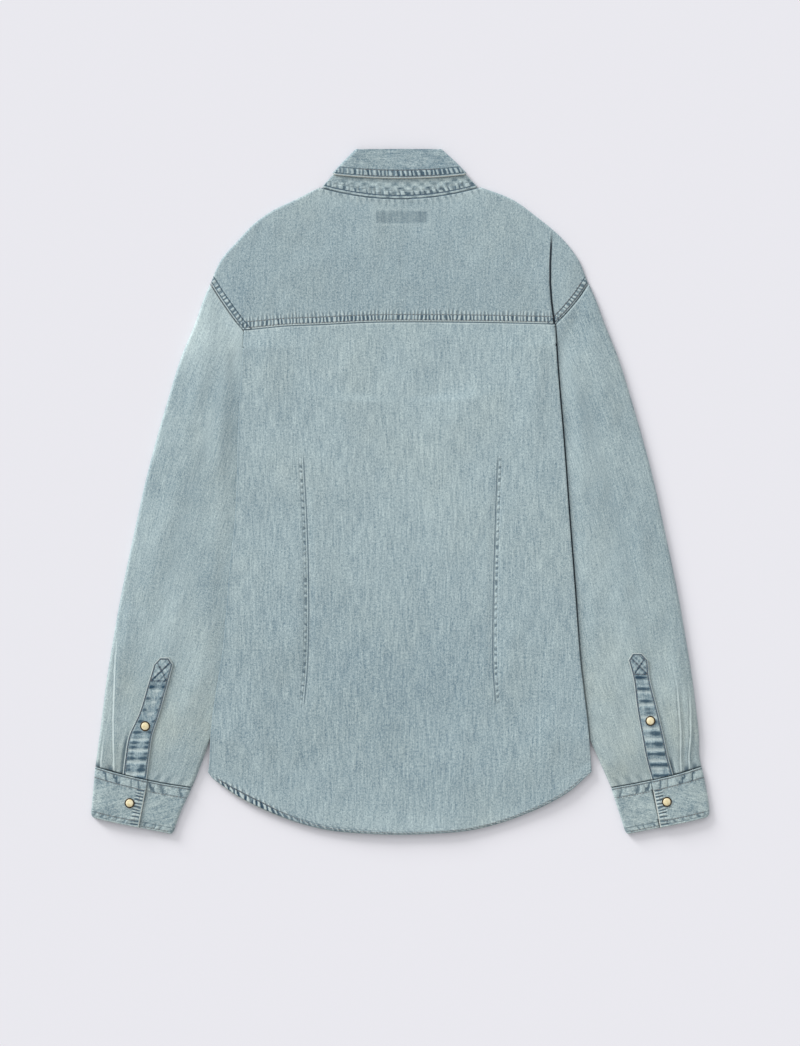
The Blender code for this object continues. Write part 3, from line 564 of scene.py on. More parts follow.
# a seam's look, in mm from its ditch: the two stitch rows, pucker spacing, how far ridges
# reach past the rows and below the ditch, then strengths: dark dashes, light ridges, the
# ditch line, the rows' own lines, the worn edge; slant leans the dashes, and a higher duty
# makes them narrower
Seam = namedtuple("Seam", "row1 row2 spacing reach below dark light ditch line1 line2"
                          " edge slant duty")
YOKE_SEAM = Seam(2.0, 8.2, 4.5, 7.0, 2.0, 1.0, 1.0, 0.85, 0.25, 0.50, 0.0, 0.0, 0.15)
ARM_SEAM = Seam(2.3, 7.4, 4.9, 1.5, 2.4, 0.80, 0.8, 0.65, 0.9, 1.0, 0.0, 0.1, 0.2)
NECK_SEAM = Seam(3.6, 8.4, 7.0, 4.0, 9.0, 0.95, 0.45, 1.0, 0.95, 0.0, 0.0, 0.2, 0.45)
LEAF_SEAM = Seam(2.3, 9.4, 5.3, 0.8, 0.0, 1.0, 0.6, 0.0, 0.8, 0.8, 1.0, 0.15, 0.1)
CUFF_SEAM_LOOK = Seam(2.2, 12.2, 15.0, 4.0, 4.0, 0.95, 0.20, 0.9, 0.75, 0.45, 0.0, 0.45, 0.70)
SLEEVE_END_SEAM = Seam(0.4, 3.0, 14.0, 4.0, 0.0, 0.45, 0.5, 0.9, 0.0, 0.0, 0.0, 0.4, 0.5)
LAP_SEAM = Seam(1.8, 10.5, 3.9, 1.5, 0.0, 1.0, 0.9, 0.0, 0.0, 0.0, 0.9, 0.0, 0.1)
EDGE_SEAM = Seam(2.2, 6.8, 9.0, 3.0, 0.0, 0.75, 0.15, 0.0, 0.30, 0.50, 0.3, 0.5, 0.75)
HEM_SEAM = Seam(0.6, 6.4, 7.2, 5.0, 0.0, 1.0, 1.0, 0.0, 0.5, 0.85, 0.5, 0.9, 0.1)
DART_SEAM = Seam(1.8, 4.6, 8.2, 0.6, 1.2, 0.70, 0.3, 0.75, 0.0, 0.0, 0.0, 0.2, 0.3)
PLACKET_SEAM = Seam(1.9, 2.5, 8.0, 0.3, 0.0, 0.25, 0.10, 0.0, 1.0, 0.0, 0.50, 0.0, 0.3)
# TUCK paints a light line along each tuck's fold, a painted highlight, and a thin dark line at the
# fold, painted shade
TUCK = Seam(2.6, 2.8, 30.0, 0.0, 0.0, 0.0, 1.15, 0.30, 0.0, 0.0, 0.0, 0.0, 0.0)


def denim(name, seams, tone=0.0, green=0.0, mottle=0.12, slit=False, warp=1.0):
    """Washed denim; seams lists (field name, Seam), one at least."""
    sh = Shader(name)
    u, v, seed = sh.parts("weave")

    def cloud(across, along, layer, detail, rough=0.5):
        """Noise with so many cells to the millimetre across the warp and along it."""
        depth = seed + layer if layer else seed
        return sh.noise(sh.vector(u * across, v * along, depth), 1.0, detail, rough)

    streak = cloud(0.27, 0.028, 7.0, 2, 0.6) - 0.5
    slub = cloud(0.58, 0.055, 11.0, 1, 0.6) - 0.5
    pepper = cloud(0.50, 0.36, 17.0, 2, 0.8) - 0.5
    t = ((cloud(0.011, 0.009, 0, 2) - 0.5) * 0.06 + (cloud(0.055, 0.026, 0, 3, 0.6) - 0.5) * 0.08
         + (cloud(0.17, 0.09, 3.0, 3, 0.65) - 0.5) * 0.10
         + streak * (0.66 * warp) + slub * (0.73 * warp)
         + pepper * 1.50 + (cloud(1.1, 0.8, 19.0, 1) - 0.5) * 0.95
         + (cloud(0.20, 0.15, 29.0, 2, 0.6) - 0.5) * mottle)
    t = (t + sh.value("tone") + (0.5 + tone)).clamp()
    colour = sh.mix(t, MIDTONE, LIGHT)
    warm = cloud(0.012, 0.009, 31.0, 2)
    tint = (warm.ramp(0.42, 0.72) * 0.22 + sh.value("warm") * (warm.ramp(0.3, 0.7) * 1.1 + 0.4)
            + green).clamp()
    warmed = sh.mix(t, WARM_MIDTONE, WARM_LIGHT)
    colour = sh.mix(tint, colour, warmed)
    fleck = cloud(0.85, 0.60, 23.0, 1)
    colour = sh.mix(fleck.ramp(0.60, 0.74) * 0.34, colour, PALE)
    colour = sh.mix(fleck.ramp(0.40, 0.27) * 0.30, colour, INDIGO)
    dark = light = height = worn = None
    for k, (field, spec) in enumerate(seams):
        d, s, on = sh.parts(field)
        drift = sh.noise(sh.vector(s * 0.05, d * 0.02, k + 1.5), 1.0, 2, 0.6)
        jitter = sh.noise(sh.vector(s * 0.30, d * 0.16, k + 5.5), 1.0, 2, 0.6)
        wave = ((s + d * spec.slant) * (2 * math.pi / spec.spacing) + drift * 16.0
                + jitter * 3.4).sin()
        size = sh.noise(sh.vector(s * 0.10, 0.0, k + 9.5), 1.0, 1, 0.5).ramp(0.30, 0.55, 0.45, 1.0)
        dash = wave.ramp(spec.duty - 0.3, spec.duty + 0.3) * size
        ridge = wave.ramp(spec.duty - 0.3, spec.duty - 0.9)
        within = d.ramp(spec.row1 - 0.5, spec.row1 + 0.3) * d.ramp(spec.row2 + 0.3, spec.row2 - 0.5)
        reach_n = sh.noise(sh.vector(s * 0.16, 0.0, k + 13.5), 1.0, 1, 0.5)
        far = d - reach_n * (spec.reach * 1.6) + spec.reach * 0.8
        past = d.ramp(spec.row2 - 0.1, spec.row2 + 0.5) * far.ramp(
            spec.row2 + spec.reach, spec.row2 + spec.reach * 0.25)
        line2 = (d - spec.row2).abs().ramp(1.05, 0.35)
        line1 = (d - spec.row1).abs().ramp(1.05, 0.35)
        dk = within * dash * spec.dark + past * dash * (0.42 * spec.dark)
        dk = dk.max(line2 * spec.line2).max(line1 * spec.line1)
        lt = past * ridge * (spec.light * 0.8) + within * ridge * (spec.light * 0.85)
        between = (d - spec.row1 * 0.5).abs().ramp(0.9, 0.3) * d.ramp(-0.1, 0.2)
        lt = lt.max(between * spec.light * 0.9)
        if spec.below > 0:
            under = d.ramp(-spec.below, -0.4) * d.ramp(0.2, -0.6)
            much = 2.0 if spec.below > 5 else 1.0
            dk = dk + under * dash * (0.30 * much * spec.dark)
            lt = lt + under * ridge * (0.45 * much * spec.light)
            lt = lt.max((d + 1.6).abs().ramp(0.9, 0.3) * 0.55 * spec.light)
        if spec.ditch > 0:
            dk = dk.max((d + 0.2).abs().ramp(1.05, 0.4) * spec.ditch)
        h = (within + past) * (wave * -0.5) + line1 * -0.4 + line2 * -0.4
        dk, lt, h = dk * on, lt * on, h * on
        dark = dk if dark is None else dark.max(dk)
        light = lt if light is None else light.max(lt)
        height = h if height is None else height + h
        if spec.edge > 0:
            w = d.ramp(1.2, 0.6) * on * spec.edge
            worn = w if worn is None else worn.max(w)
    # this field holds dark and light marks in the cloth's colour and, in places, painted shade
    mark = sh.value("mark")
    dark = dark.max(mark)
    light = light.max(-mark)
    rough_dark = (pepper * 1.6 + 1.0).clamp()
    colour = sh.mix((light * 0.70).clamp(), colour, PALE)
    colour = sh.mix((dark * rough_dark * 0.86).clamp(), colour, INDIGO)
    if worn is not None:
        colour = sh.mix((worn * 0.8).clamp(), colour, WORN)
    # painted shade: the shade field and, on pieces that take it, a painted shadow line along the
    # right fold darken the colour towards IN_SHADE
    painted_shade = sh.value("shade")
    if slit:
        d, s, on = sh.parts("slit")
        painted_shade = painted_shade.max(d.abs().ramp(1.6, 0.8) * on)
    colour = sh.mix(painted_shade.clamp(), colour, IN_SHADE)
    sh.tree.links.new(colour, sh.bsdf.inputs["Base Color"])
    # 3/1 twill: diagonal wales crossed by the warp, with thick and thin yarns
    wale = ((u * 1.55 + v * 1.15) * (2 * math.pi / WALE)).sin()
    yarn = (u * (2 * math.pi / YARN)).sin()
    cloth_h = wale * 0.16 + yarn * 0.05 + slub * 0.6 + pepper * 0.9 + streak * 0.5
    sh.bump(cloth_h + height * 2.2, 0.55, 0.0006)
    for key, value in DENIM_SURFACE.items():
        sh.bsdf.inputs[key].default_value = value
    return sh.mat


denim_back = denim("denim_back", [("seam0", YOKE_SEAM), ("seam1", HEM_SEAM), ("seam2", DART_SEAM)])
denim_yoke = denim("denim_yoke", [("seam0", YOKE_SEAM), ("seam1", ARM_SEAM), ("seam2", NECK_SEAM)],
                   tone=-0.050, slit=True, warp=0.6)
denim_sleeve = denim("denim_sleeve", [("seam0", ARM_SEAM), ("seam1", SLEEVE_END_SEAM),
                                      ("seam2", TUCK), ("seam3", TUCK)], tone=-0.035,
                     green=0.10, slit=True, warp=0.85)
denim_cuff = denim("denim_cuff", [("seam0", CUFF_SEAM_LOOK), ("seam1", LAP_SEAM),
                                  ("seam2", EDGE_SEAM)], tone=-0.11, green=0.40, mottle=0.75)
denim_placket = denim("denim_placket", [("seam0", PLACKET_SEAM)], tone=-0.10, mottle=0.6)
denim_stand = denim("denim_stand", [("seam0", NECK_SEAM)], tone=0.02, mottle=1.0)
denim_leaf = denim("denim_leaf", [("seam0", LEAF_SEAM)], tone=-0.14, mottle=0.6)
denim_front = denim("denim_front", [("seam0", HEM_SEAM)])


def plain_fields(x, y, seed, u=None, v=None):
    z = np.zeros_like(x)
    f = {"weave": xyz(x if u is None else u, y if v is None else v, z + seed)}
    f.update((key, z.copy()) for key in ("tone", "mark", "shade", "warm"))
    return f


def blob(x, y, cx, cy, rx, ry):
    return np.exp(-((x - cx) / rx) ** 2 - ((y - cy) / ry) ** 2)


# ---------------------------------------------------------------- body sheets
def folded_row(half, turned, radius, folded, z_of, up, start, seam_level, counts):
    """Developed position, x and z across half a body sheet, as on the CAD sheet."""
    flat_n, fold_n, in_n, end_n = counts
    r = radius
    centre = half - r if folded else half + (0.8 if up < 0 else -0.1)
    flat = start + (centre - start) * np.linspace(0, 1, flat_n)
    z0 = float(z_of(np.array([centre]))[0])
    a = math.pi * np.arange(1, fold_n + 1) / fold_n
    fx, fz = centre + r * np.sin(a), z0 + up * r * (1 - np.cos(a))
    drop = abs(seam_level - fz[-1])
    run = max(turned - r - drop, 0.8)
    d = run * np.arange(1, in_n + 1) / in_n
    e = math.pi / 2 * np.arange(1, end_n + 1) / end_n
    x = np.r_[flat, fx, centre - d, centre - run - drop * np.sin(e)]
    z = np.r_[z_of(flat), fz, np.full(in_n, fz[-1]), fz[-1] + up * drop * (1 - np.cos(e))]
    s = np.r_[flat, centre + r * a, half + d, half + run + drop * e]
    return s, x, z


def body_half_sheet(start, level, radius, up, inset, counts, row_step, top_rows, hem_lift=0.0):
    """Rows from hem to top; returns grid, developed distances and the rows' heights."""
    rows, dev, tops = [], [], []

    def add(y0, w, seam_level):
        """A row at height y0; w says how much of the hem's curve it takes."""
        half = float(body_half(y0)) - inset
        s, x, z = folded_row(half, float(turned_in(y0)) - inset, radius, y0 <= FOLD_START_Y,
                             lambda q: level(q, y0), up, start, seam_level - up * 0.15, counts)
        reach = np.where(s < half, np.abs(x), half + 0.55 * (s - half))
        y = HEM_BLEND_Y + (hem_y(np.clip(reach, 0, 235)) - HEM_BLEND_Y) * w + hem_lift * w
        rows.append(xyz(x, y if w else np.full_like(x, y0), z))
        dev.append(s)
        tops.append(y0)

    for w in np.linspace(1, 0, int(120 / row_step), endpoint=False):
        add(HEM_BLEND_Y + (hem_y(200.0) - HEM_BLEND_Y) * w, w,
            HEM_SEAM_LEVEL if w > 0.3 else MIDDLE)
    straight = [HEM_BLEND_Y]
    while straight[-1] + row_step < 189.5:
        straight.append(straight[-1] + row_step)
    marks = [UNDERARM_Y, FOLD_START_Y]
    for y in sorted([y for y in straight if min(abs(y - m) for m in marks) > 1] + marks):
        add(y, 0, MIDDLE)
    for row, s in top_rows(len(rows[0])):
        rows.append(row)
        dev.append(s)
        tops.append(ABOVE_ALL)
    return np.array(rows), np.array(dev), np.array(tops)


def body_keep(tops, flat_n, fold_n, in_n):
    """Which faces a half sheet has, by row height and by column from its middle."""
    def has(i, j):
        top = tops[i]
        return np.where(top >= FOLD_START_Y, j < flat_n - 1,
                        np.where(top >= UNDERARM_Y, j < flat_n + fold_n + in_n - 1, True))
    return has


BACK_COUNTS = (74, 7, 8, 3)


def back_top(count):
    out = []
    flat_n = BACK_COUNTS[0]
    for w in (0.0, 0.6, 1.0):
        half = 179.2 - 0.3 * w
        x = half * np.linspace(0, 1, flat_n)
        y = 189.9 + (yoke_seam_y(x) - 0.2 - 189.9) * (0.15 + 0.85 * w)
        z = back_level(np.minimum(x, SEAM_FLAT_X), 189.9 + 3.1 * w)
        row = np.pad(xyz(x, y, z), ((0, count - flat_n), (0, 0)), mode="edge")
        out.append((row, row[:, 0].copy()))
    return out


half_back, dev_back, tops_back = body_half_sheet(0.0, back_level, BACK_FOLD, -1, 0.0, BACK_COUNTS,
                                                 3.0, back_top)
back = two_sides(half_back)
dev = np.concatenate([-dev_back[:, :0:-1], dev_back], axis=1)
mid = half_back.shape[1] - 1
X, Y, Z = back[..., 0].copy(), back[..., 1].copy(), back[..., 2].copy()
outside = np.zeros(X.shape[1], bool)
outside[mid - BACK_COUNTS[0] - 2:mid + BACK_COUNTS[0] + 3] = True
face = outside[None, :] & (np.abs(X) <= body_half(Y) + 1)
soft = smooth((body_half(Y) - np.abs(X)) / 26) * smooth((YOKE_Y - Y) / 22)
lift = crease_rise(BODY_CREASES, X, Y) + 0.24 * (ground(X, Y) + 1) + 0.10 * fine_ground(X, Y)
hem_d, hem_s = line_coords(X, Y, HEM_LINE)
HEM_AT = [-220, -205, -185, -160, -140, -100, 0, 60, 220]
hem_width = np.interp(X, HEM_AT, [2, 3.4, 6.6, 7.2, 5.6, 5.0, 3.6, 2.6, 3])
hem_on = np.interp(X, [-219, -212, -203, -150, -120, -60, 30, 60, 110, 219],
                   [0.05, 0.3, 1.15, 1.15, 0.6, 0.5, 0.35, 0.5, 0.55, 0.3])
dart_d, dart_s = line_coords(np.abs(X), Y, DART_LINE)
dart_d = -dart_d if dart_d[np.argmin(np.abs(Y[:, mid] + 100)), -30] > 0 else dart_d
dart_on = smooth((46 - Y) / 14) * smooth((Y + 252) / 16) * (np.abs(np.abs(X) - 108) < 14)
# the darts draw a shallow valley; the hem band stands up a little and ripples
valley = 0.9 * np.exp(-(dart_d / 4.5) ** 2) * smooth((40 - Y) / 60) * smooth((Y + 246) / 60)
ripple = 0.30 * band(dart_d, -6, 6, 6) * pucker(dart_s, dart_d, 7.6, 5) * dart_on
hem_puck = 0.42 * band(hem_d, -1, 10, 5) * pucker(hem_s, hem_d, 6.6, 6, 0.9)
yoke_d, yoke_s = line_coords(X, Y, YOKE_LINE)
yoke_puck = 0.22 * band(-yoke_d, 0, 7, 5) * pucker(yoke_s, yoke_d, 5.4, 7)
Z = Z + np.where(face, soft * lift - valley + ripple + hem_puck * (hem_d < 14) + yoke_puck, 0)
back = xyz(X, Y, Z)
f = plain_fields(X, Y, 2.0, u=dev)
on_face = np.where(face, 1.0, 0.0)
f["seam0"] = xyz(yoke_d, yoke_s, on_face)
f["seam1"] = xyz(hem_d * 6.4 / hem_width, hem_s, on_face * hem_on)
f["seam2"] = xyz(-dart_d, dart_s + 300 * (X > 0), dart_on * on_face)
f["tone"] = (-0.22 * smooth((11 - hem_d) / 9) * smooth((X + 160) / 20) * smooth((-30 - X) / 50)
             + 0.06 * blob(X, Y, 0, 60, 150, 170) - 0.13 * blob(X, Y, 0, -230, 190, 120)
             + 0.10 * smooth((-355 - Y) / 30) + 0.02 * ground(X * 1.3, Y * 0.8))
edge_d = body_half(Y) - np.abs(X)
# painted shade: the back's left edge is darkened where its fold faces the light
f["mark"] = np.where(face, 0.30 * smooth((2.6 - edge_d) / 2.0) * (X < 0), 0)
f["shade"] = np.where(face, 0.0, np.where(Y > FOLD_START_Y - 2, np.where(X > 0, 0.97, 0.0), 0.55))


def back_keep(i, j):
    return body_keep(tops_back, *BACK_COUNTS[:3])(i, np.where(j >= mid, j - mid, mid - 1 - j))


cloth_mesh("cloth_back", back, denim_back, keep=back_keep, fields=f)

# ---------------------------------------------------------------- fronts
FRONT_COUNTS = (34, 6, 6, 3)


def front_top(start):
    def rows(count):
        flat_n = FRONT_COUNTS[0]
        neck_n = 14
        corner = FRONT_YOKE_SEAM[0].x
        a0, a1 = math.asin(start / NECK_FRONT_HALF), math.asin(corner / NECK_FRONT_HALF)
        nx = NECK_FRONT_HALF * np.sin(np.linspace(a0, a1, neck_n))
        seam = front_seam(np.linspace(0, 1, flat_n - neck_n + 1)[1:]) - np.array([0.3, 0.4])
        top = np.concatenate([xyz(nx, neck_front_y(np.abs(nx)) - 0.2), seam])
        low_x = np.linspace(start, 174.8, flat_n)
        out = []
        for w in np.linspace(0, 1, 18):
            bend = 6.0 * w * (1 - w) * smooth((np.arange(flat_n) / (flat_n - 1) - 0.6) / 0.4)
            x = low_x + (top[:, 0] - low_x) * w - bend
            y = 190.5 + (top[:, 1] - 190.5) * w
            x, y = (np.pad(q, (0, count - flat_n), mode="edge") for q in (x, y))
            out.append((xyz(x, y, front_level(x, y, start < 0)), x.copy()))
        return out
    return rows


def front_piece(name, start, underlap, flip):
    grid, dev_f, tops = body_half_sheet(start, lambda x, y: front_level(x, y, underlap),
                                        FRONT_FOLD, 1, 4.0, FRONT_COUNTS, 7.0, front_top(start),
                                        hem_lift=1.2)
    x, y = grid[..., 0], grid[..., 1]
    fields = plain_fields(x, y, 5.0, u=dev_f)
    d, s = line_coords(x, y, HEM_LINE)
    fields["seam0"] = xyz(d, s, np.ones_like(d))
    cloth_mesh(name, mirror(grid) if flip else grid, denim_front,
               keep=body_keep(tops, *FRONT_COUNTS[:3]), fields=fields)


front_piece("cloth_front_left", PLACKET_HALF + 0.3, False, True)
front_piece("cloth_front_right", -PLACKET_HALF, True, False)
px, t = np.meshgrid(np.linspace(-PLACKET_HALF, PLACKET_HALF, 23), np.linspace(0, 1, 170))
low, top = hem_y(np.abs(px)) + 1.2, neck_front_y(np.abs(px))
py = low + (top - low) * t
rib = 0.12 * pucker(py, px, 9.0, 12) * band(np.abs(px), 9, 17, 3)
fields = plain_fields(px, py, 6.0)
fields["seam0"] = xyz(PLACKET_HALF - np.abs(px), py, np.ones_like(px))
cloth_mesh("cloth_front_placket", xyz(px, py, PLACKET_LEVEL + rib), denim_placket, fields=fields)

# ---------------------------------------------------------------- yoke
NECK_PART = 0.33


def yoke_top(u):
    u = np.asarray(u, float)
    x = NECK_HALF * np.clip(u / NECK_PART, 0, 1)
    neck = xyz(x, neck_back_y(x))
    return np.where((u > NECK_PART)[..., None],
                    shoulder(np.clip((u - NECK_PART) / (1 - NECK_PART), 0, 1)), neck)


def patch(bottom, top_, left, right, us, vs):
    u, v = np.meshgrid(us, vs)
    u, v = u[..., None], v[..., None]
    b, t_ = bottom(np.asarray(us))[None], top_(np.asarray(us))[None]
    le, ri = left(np.asarray(vs))[:, None], right(np.asarray(vs))[:, None]
    return ((1 - v) * b + v * t_ + (1 - u) * le + u * ri
            - ((1 - u) * (1 - v) * bottom(0.0) + u * (1 - v) * bottom(1.0)
               + (1 - u) * v * top_(0.0) + u * v * top_(1.0)))


def yoke_bottom(u):
    x = ARMHOLE_BACK[0].x * np.asarray(u, float)
    return xyz(x, yoke_seam_y(x))


def yoke_left(v):
    v = np.asarray(v, float)
    return xyz(0 * v, YOKE_Y + (BACK_NECK_Y - YOKE_Y) * v)


neck_cols, shoulder_cols = 38, 70
us = np.r_[np.linspace(0, NECK_PART, neck_cols), np.linspace(NECK_PART, 1, shoulder_cols + 1)[1:]]
vs = np.r_[np.linspace(0, 0.09, 12, endpoint=False), np.linspace(0.09, 1, 62)]
plan = patch(yoke_bottom, yoke_top, yoke_left, armhole, us, vs)
st = np.clip((us - NECK_PART) / (1 - NECK_PART), 0, 1)
edge = shoulder(st)
tangent = shoulder(np.clip(st + 0.01, 0, 1)) - shoulder(np.clip(st - 0.01, 0, 1))
normal = xyz(-tangent[:, 1], tangent[:, 0])
normal *= np.where(normal[:, 1:] < 0, -1, 1)
normal /= np.linalg.norm(normal, axis=1)[:, None]
normal[-1] = (0.92, 0.39)
normal[st == 0] = (0.55, 0.84)
e_lift = neck_lift(edge[:, 0], edge[:, 1])
e_r = (2.1 - 0.7 * e_lift) * (1 - 0.35 * smooth((st - 0.8) / 0.2))
z_front = ON_SURFACE + (PLACKET_LEVEL - ON_SURFACE) * e_lift
z_edge = np.where(us < NECK_PART, STAND_BACK, z_front + 2 * e_r)
X, Y = plan[..., 0], plan[..., 1]
seam_z = back_level(np.minimum(X, SEAM_FLAT_X), 193.0)
Z = z_edge[None] + (seam_z - z_edge[None]) * smooth((1 - vs[:, None]) / 0.72)
pull = e_r[None] * vs[:, None] ** 12 * (us >= NECK_PART)[None]
top_part = xyz(X - normal[:, 0] * pull, Y - normal[:, 1] * pull, Z)
turn = []
for k in range(1, 9):
    a = math.pi * k / 8
    out = -e_r + e_r * math.sin(a)
    turn.append(xyz(edge[:, 0] + normal[:, 0] * out, edge[:, 1] + normal[:, 1] * out,
                    z_front + e_r + e_r * math.cos(a)))
turn = np.array(turn)
under = []
for w in np.linspace(0, 1, 12)[1:]:
    goal = front_seam(st)
    x = turn[-1][:, 0] + (goal[:, 0] - turn[-1][:, 0]) * w
    y = turn[-1][:, 1] + (goal[:, 1] - turn[-1][:, 1]) * w
    x = np.where(st == 1, x - 1.6 * math.sin(math.pi * w), x)
    y = np.where((st == 0) & (w < 1), neck_front_y(x), y)
    under.append(xyz(x, y, ON_SURFACE + (PLACKET_LEVEL - ON_SURFACE) * neck_lift(x, y)))
half_yoke = np.concatenate([top_part, turn, np.array(under)])
yoke = two_sides(half_yoke)
yoke_mid = half_yoke.shape[1] - 1
X, Y, Z = yoke[..., 0].copy(), yoke[..., 1].copy(), yoke[..., 2].copy()
n_top = len(vs)
face = np.zeros(X.shape, bool)
face[:n_top + 3] = True
yoke_d, yoke_s = line_coords(X, Y, YOKE_LINE)
arm_d, arm_s = line_coords(np.abs(X), Y, ARMHOLE_LINE)
neck_d, neck_s = line_coords(X, Y, NECK_LINE)
soft = smooth(yoke_d / 20) * smooth(-neck_d / 20) * smooth((np.abs(arm_d)) / 20)
step, fold_d, fold_fade = fold_step(X, Y)
bands = (0.28 * band(yoke_d, 0.2, 8.2, 1.2) + 0.28 * band(np.abs(arm_d), 0.2, 7.6, 1.2)
         + 0.34 * band(yoke_d, 1.0, 15, 8) * pucker(yoke_s, yoke_d, 5.4, 7)
         + 0.22 * band(np.abs(arm_d), 1, 9, 4) * pucker(arm_s, arm_d, 6.0, 9)
         + 0.35 * band(-neck_d, -1, 9, 5) * pucker(neck_s, neck_d, 7.0, 10, 0.2))
lift = crease_rise(BODY_CREASES, X, Y) + 0.30 * (ground(X, Y) + 1) + 0.12 * fine_ground(X, Y)
Z = Z + np.where(face, soft * lift + bands, 0)
Z = Z - np.where(face & (X > 0), (1 - step) * fold_fade * 1.7 * smooth((Z - 1.5) / 2), 0)
yoke = xyz(X, Y, Z)
f = plain_fields(X, Y, 3.0)
on_face = np.where(face, 1.0, 0.0)
f["seam0"] = xyz(yoke_d, yoke_s, on_face)
f["seam1"] = xyz(np.abs(arm_d), arm_s + 90 * (X > 0), on_face)
f["seam2"] = xyz(neck_d, neck_s, on_face * (np.abs(X) < 96))
f["tone"] = (0.12 * smooth((Y - 300) / 60) - 0.05 * blob(X, Y, 0, 240, 150, 40)
             - 0.14 * blob(X, Y, -192, 240, 22, 40) - 0.10 * blob(X, Y, -50, 322, 18, 14)
             + 0.10 * smooth((np.abs(X) - 170) / 30) + 0.02 * ground(X * 1.2, Y))
LABEL = (2.5, 316.0, 31.0, 8.6)      # bare imprint of a sewn patch: centre and half sizes
lx, ly = np.abs(X - LABEL[0]) - LABEL[2], np.abs(Y - LABEL[1]) - LABEL[3]
patch_in = smooth(-lx / 2.5) * smooth(-ly / 2.5)
rim_line = np.exp(-(np.maximum(lx, ly) / 2.2) ** 2)
patch_ends = 0.82 + 0.38 * smooth((lx + 17) / 8)
f["mark"] = np.where(
    face, 0.43 * patch_in * patch_ends * (0.8 + 0.2 * pucker(X, Y, 7, 15)) - 0.22 * rim_line
    + smooth((12 + neck_d) / 8) * smooth(-neck_d / 1.5)
    * (0.50 * smooth((pucker(neck_s, neck_d * 0.3, 9.0, 61) - 0.1) / 0.5)
       - 0.45 * smooth((-pucker(neck_s, neck_d * 0.3, 7.0, 62) - 0.15) / 0.5)), 0)
# painted shadow: a thin dark line along the fold on the right shoulder, where the yoke steps down
f["slit"] = xyz(fold_d - 0.4, Y, smooth((304 - Y) / 24) * 0.97 * (X > 0) * face * (X < 190))
cloth_mesh("cloth_yoke", yoke, denim_yoke, fields=f, thickness=0.85, keep=lambda i, j: (
    (i < n_top - 1) | (np.abs(j + 0.5 - yoke_mid) > neck_cols - 1)))

# ---------------------------------------------------------------- sleeves


def inside_body(x, y):
    return smooth((body_half(y) + 22 - x) / 20) * smooth((196 - y) / 26) * smooth((y + 318) / 34)


def sleeve_levels(x, y, c, t):
    w = inside_body(x, y)
    under_z = ON_SURFACE + (SLEEVE_UNDER - ON_SURFACE) * w
    crown = SLEEVE_CROWN * np.clip(4 * c * (1 - c), 0, 1) ** 0.25 * (1 - w) * smooth(
        (1 - t) / 0.09) * smooth(t / 0.10)
    over = SLEEVE_FREE + (SLEEVE_OVER - SLEEVE_FREE) * w + crown
    cap = smooth((y - 150) / 40) * smooth((240 - y) / 44) * smooth((body_half(y) + 36 - x) / 34)
    return under_z, np.maximum(over, SLEEVE_FREE + (BACK_YOKE_END - SLEEVE_FREE) * cap)


def sleeve_sheet():
    ts = np.r_[np.linspace(0, 0.06, 14, endpoint=False),
               np.linspace(0.06, 0.93, 150, endpoint=False), np.linspace(0.93, 0.9992, 22)]
    top_c = np.linspace(0, 1, 86)
    rows, cs, tt = [], [], []
    for t in ts:
        length = float(np.linalg.norm(outer(t) - inner(t)))
        e = 3.0 / length
        edge_c = e * (1 - np.cos(np.linspace(0, math.pi / 2, 6)))
        c_up = np.r_[edge_c, e + (1 - 2 * e) * top_c[1:-1], 1 - edge_c[::-1]]
        c_dn = np.r_[1 - edge_c[1:], np.linspace(1 - e, e, 24)[1:-1], edge_c[:0:-1]]
        c = np.r_[c_up, c_dn]
        p = patch(hole, cuff_seam, inner, outer, c, [t])[0]
        u_z, o_z = sleeve_levels(p[:, 0], p[:, 1], c, t)
        near = np.minimum(c, 1 - c) / e
        part = np.sqrt(np.clip(1 - (1 - np.clip(near, 0, 1)) ** 2, 0, 1))
        upper = np.arange(len(c)) < len(c_up)
        low_mid = u_z + 1.1
        z_up = low_mid + (o_z - low_mid) * part
        z_dn = low_mid - (low_mid - u_z) * part
        rows.append(xyz(p[:, 0], p[:, 1], np.where(upper, z_up, z_dn)))
        cs.append(c)
        tt.append(np.full_like(c, t))
        n_up = len(c_up)
    return np.array(rows), np.array(cs), np.array(tt), n_up


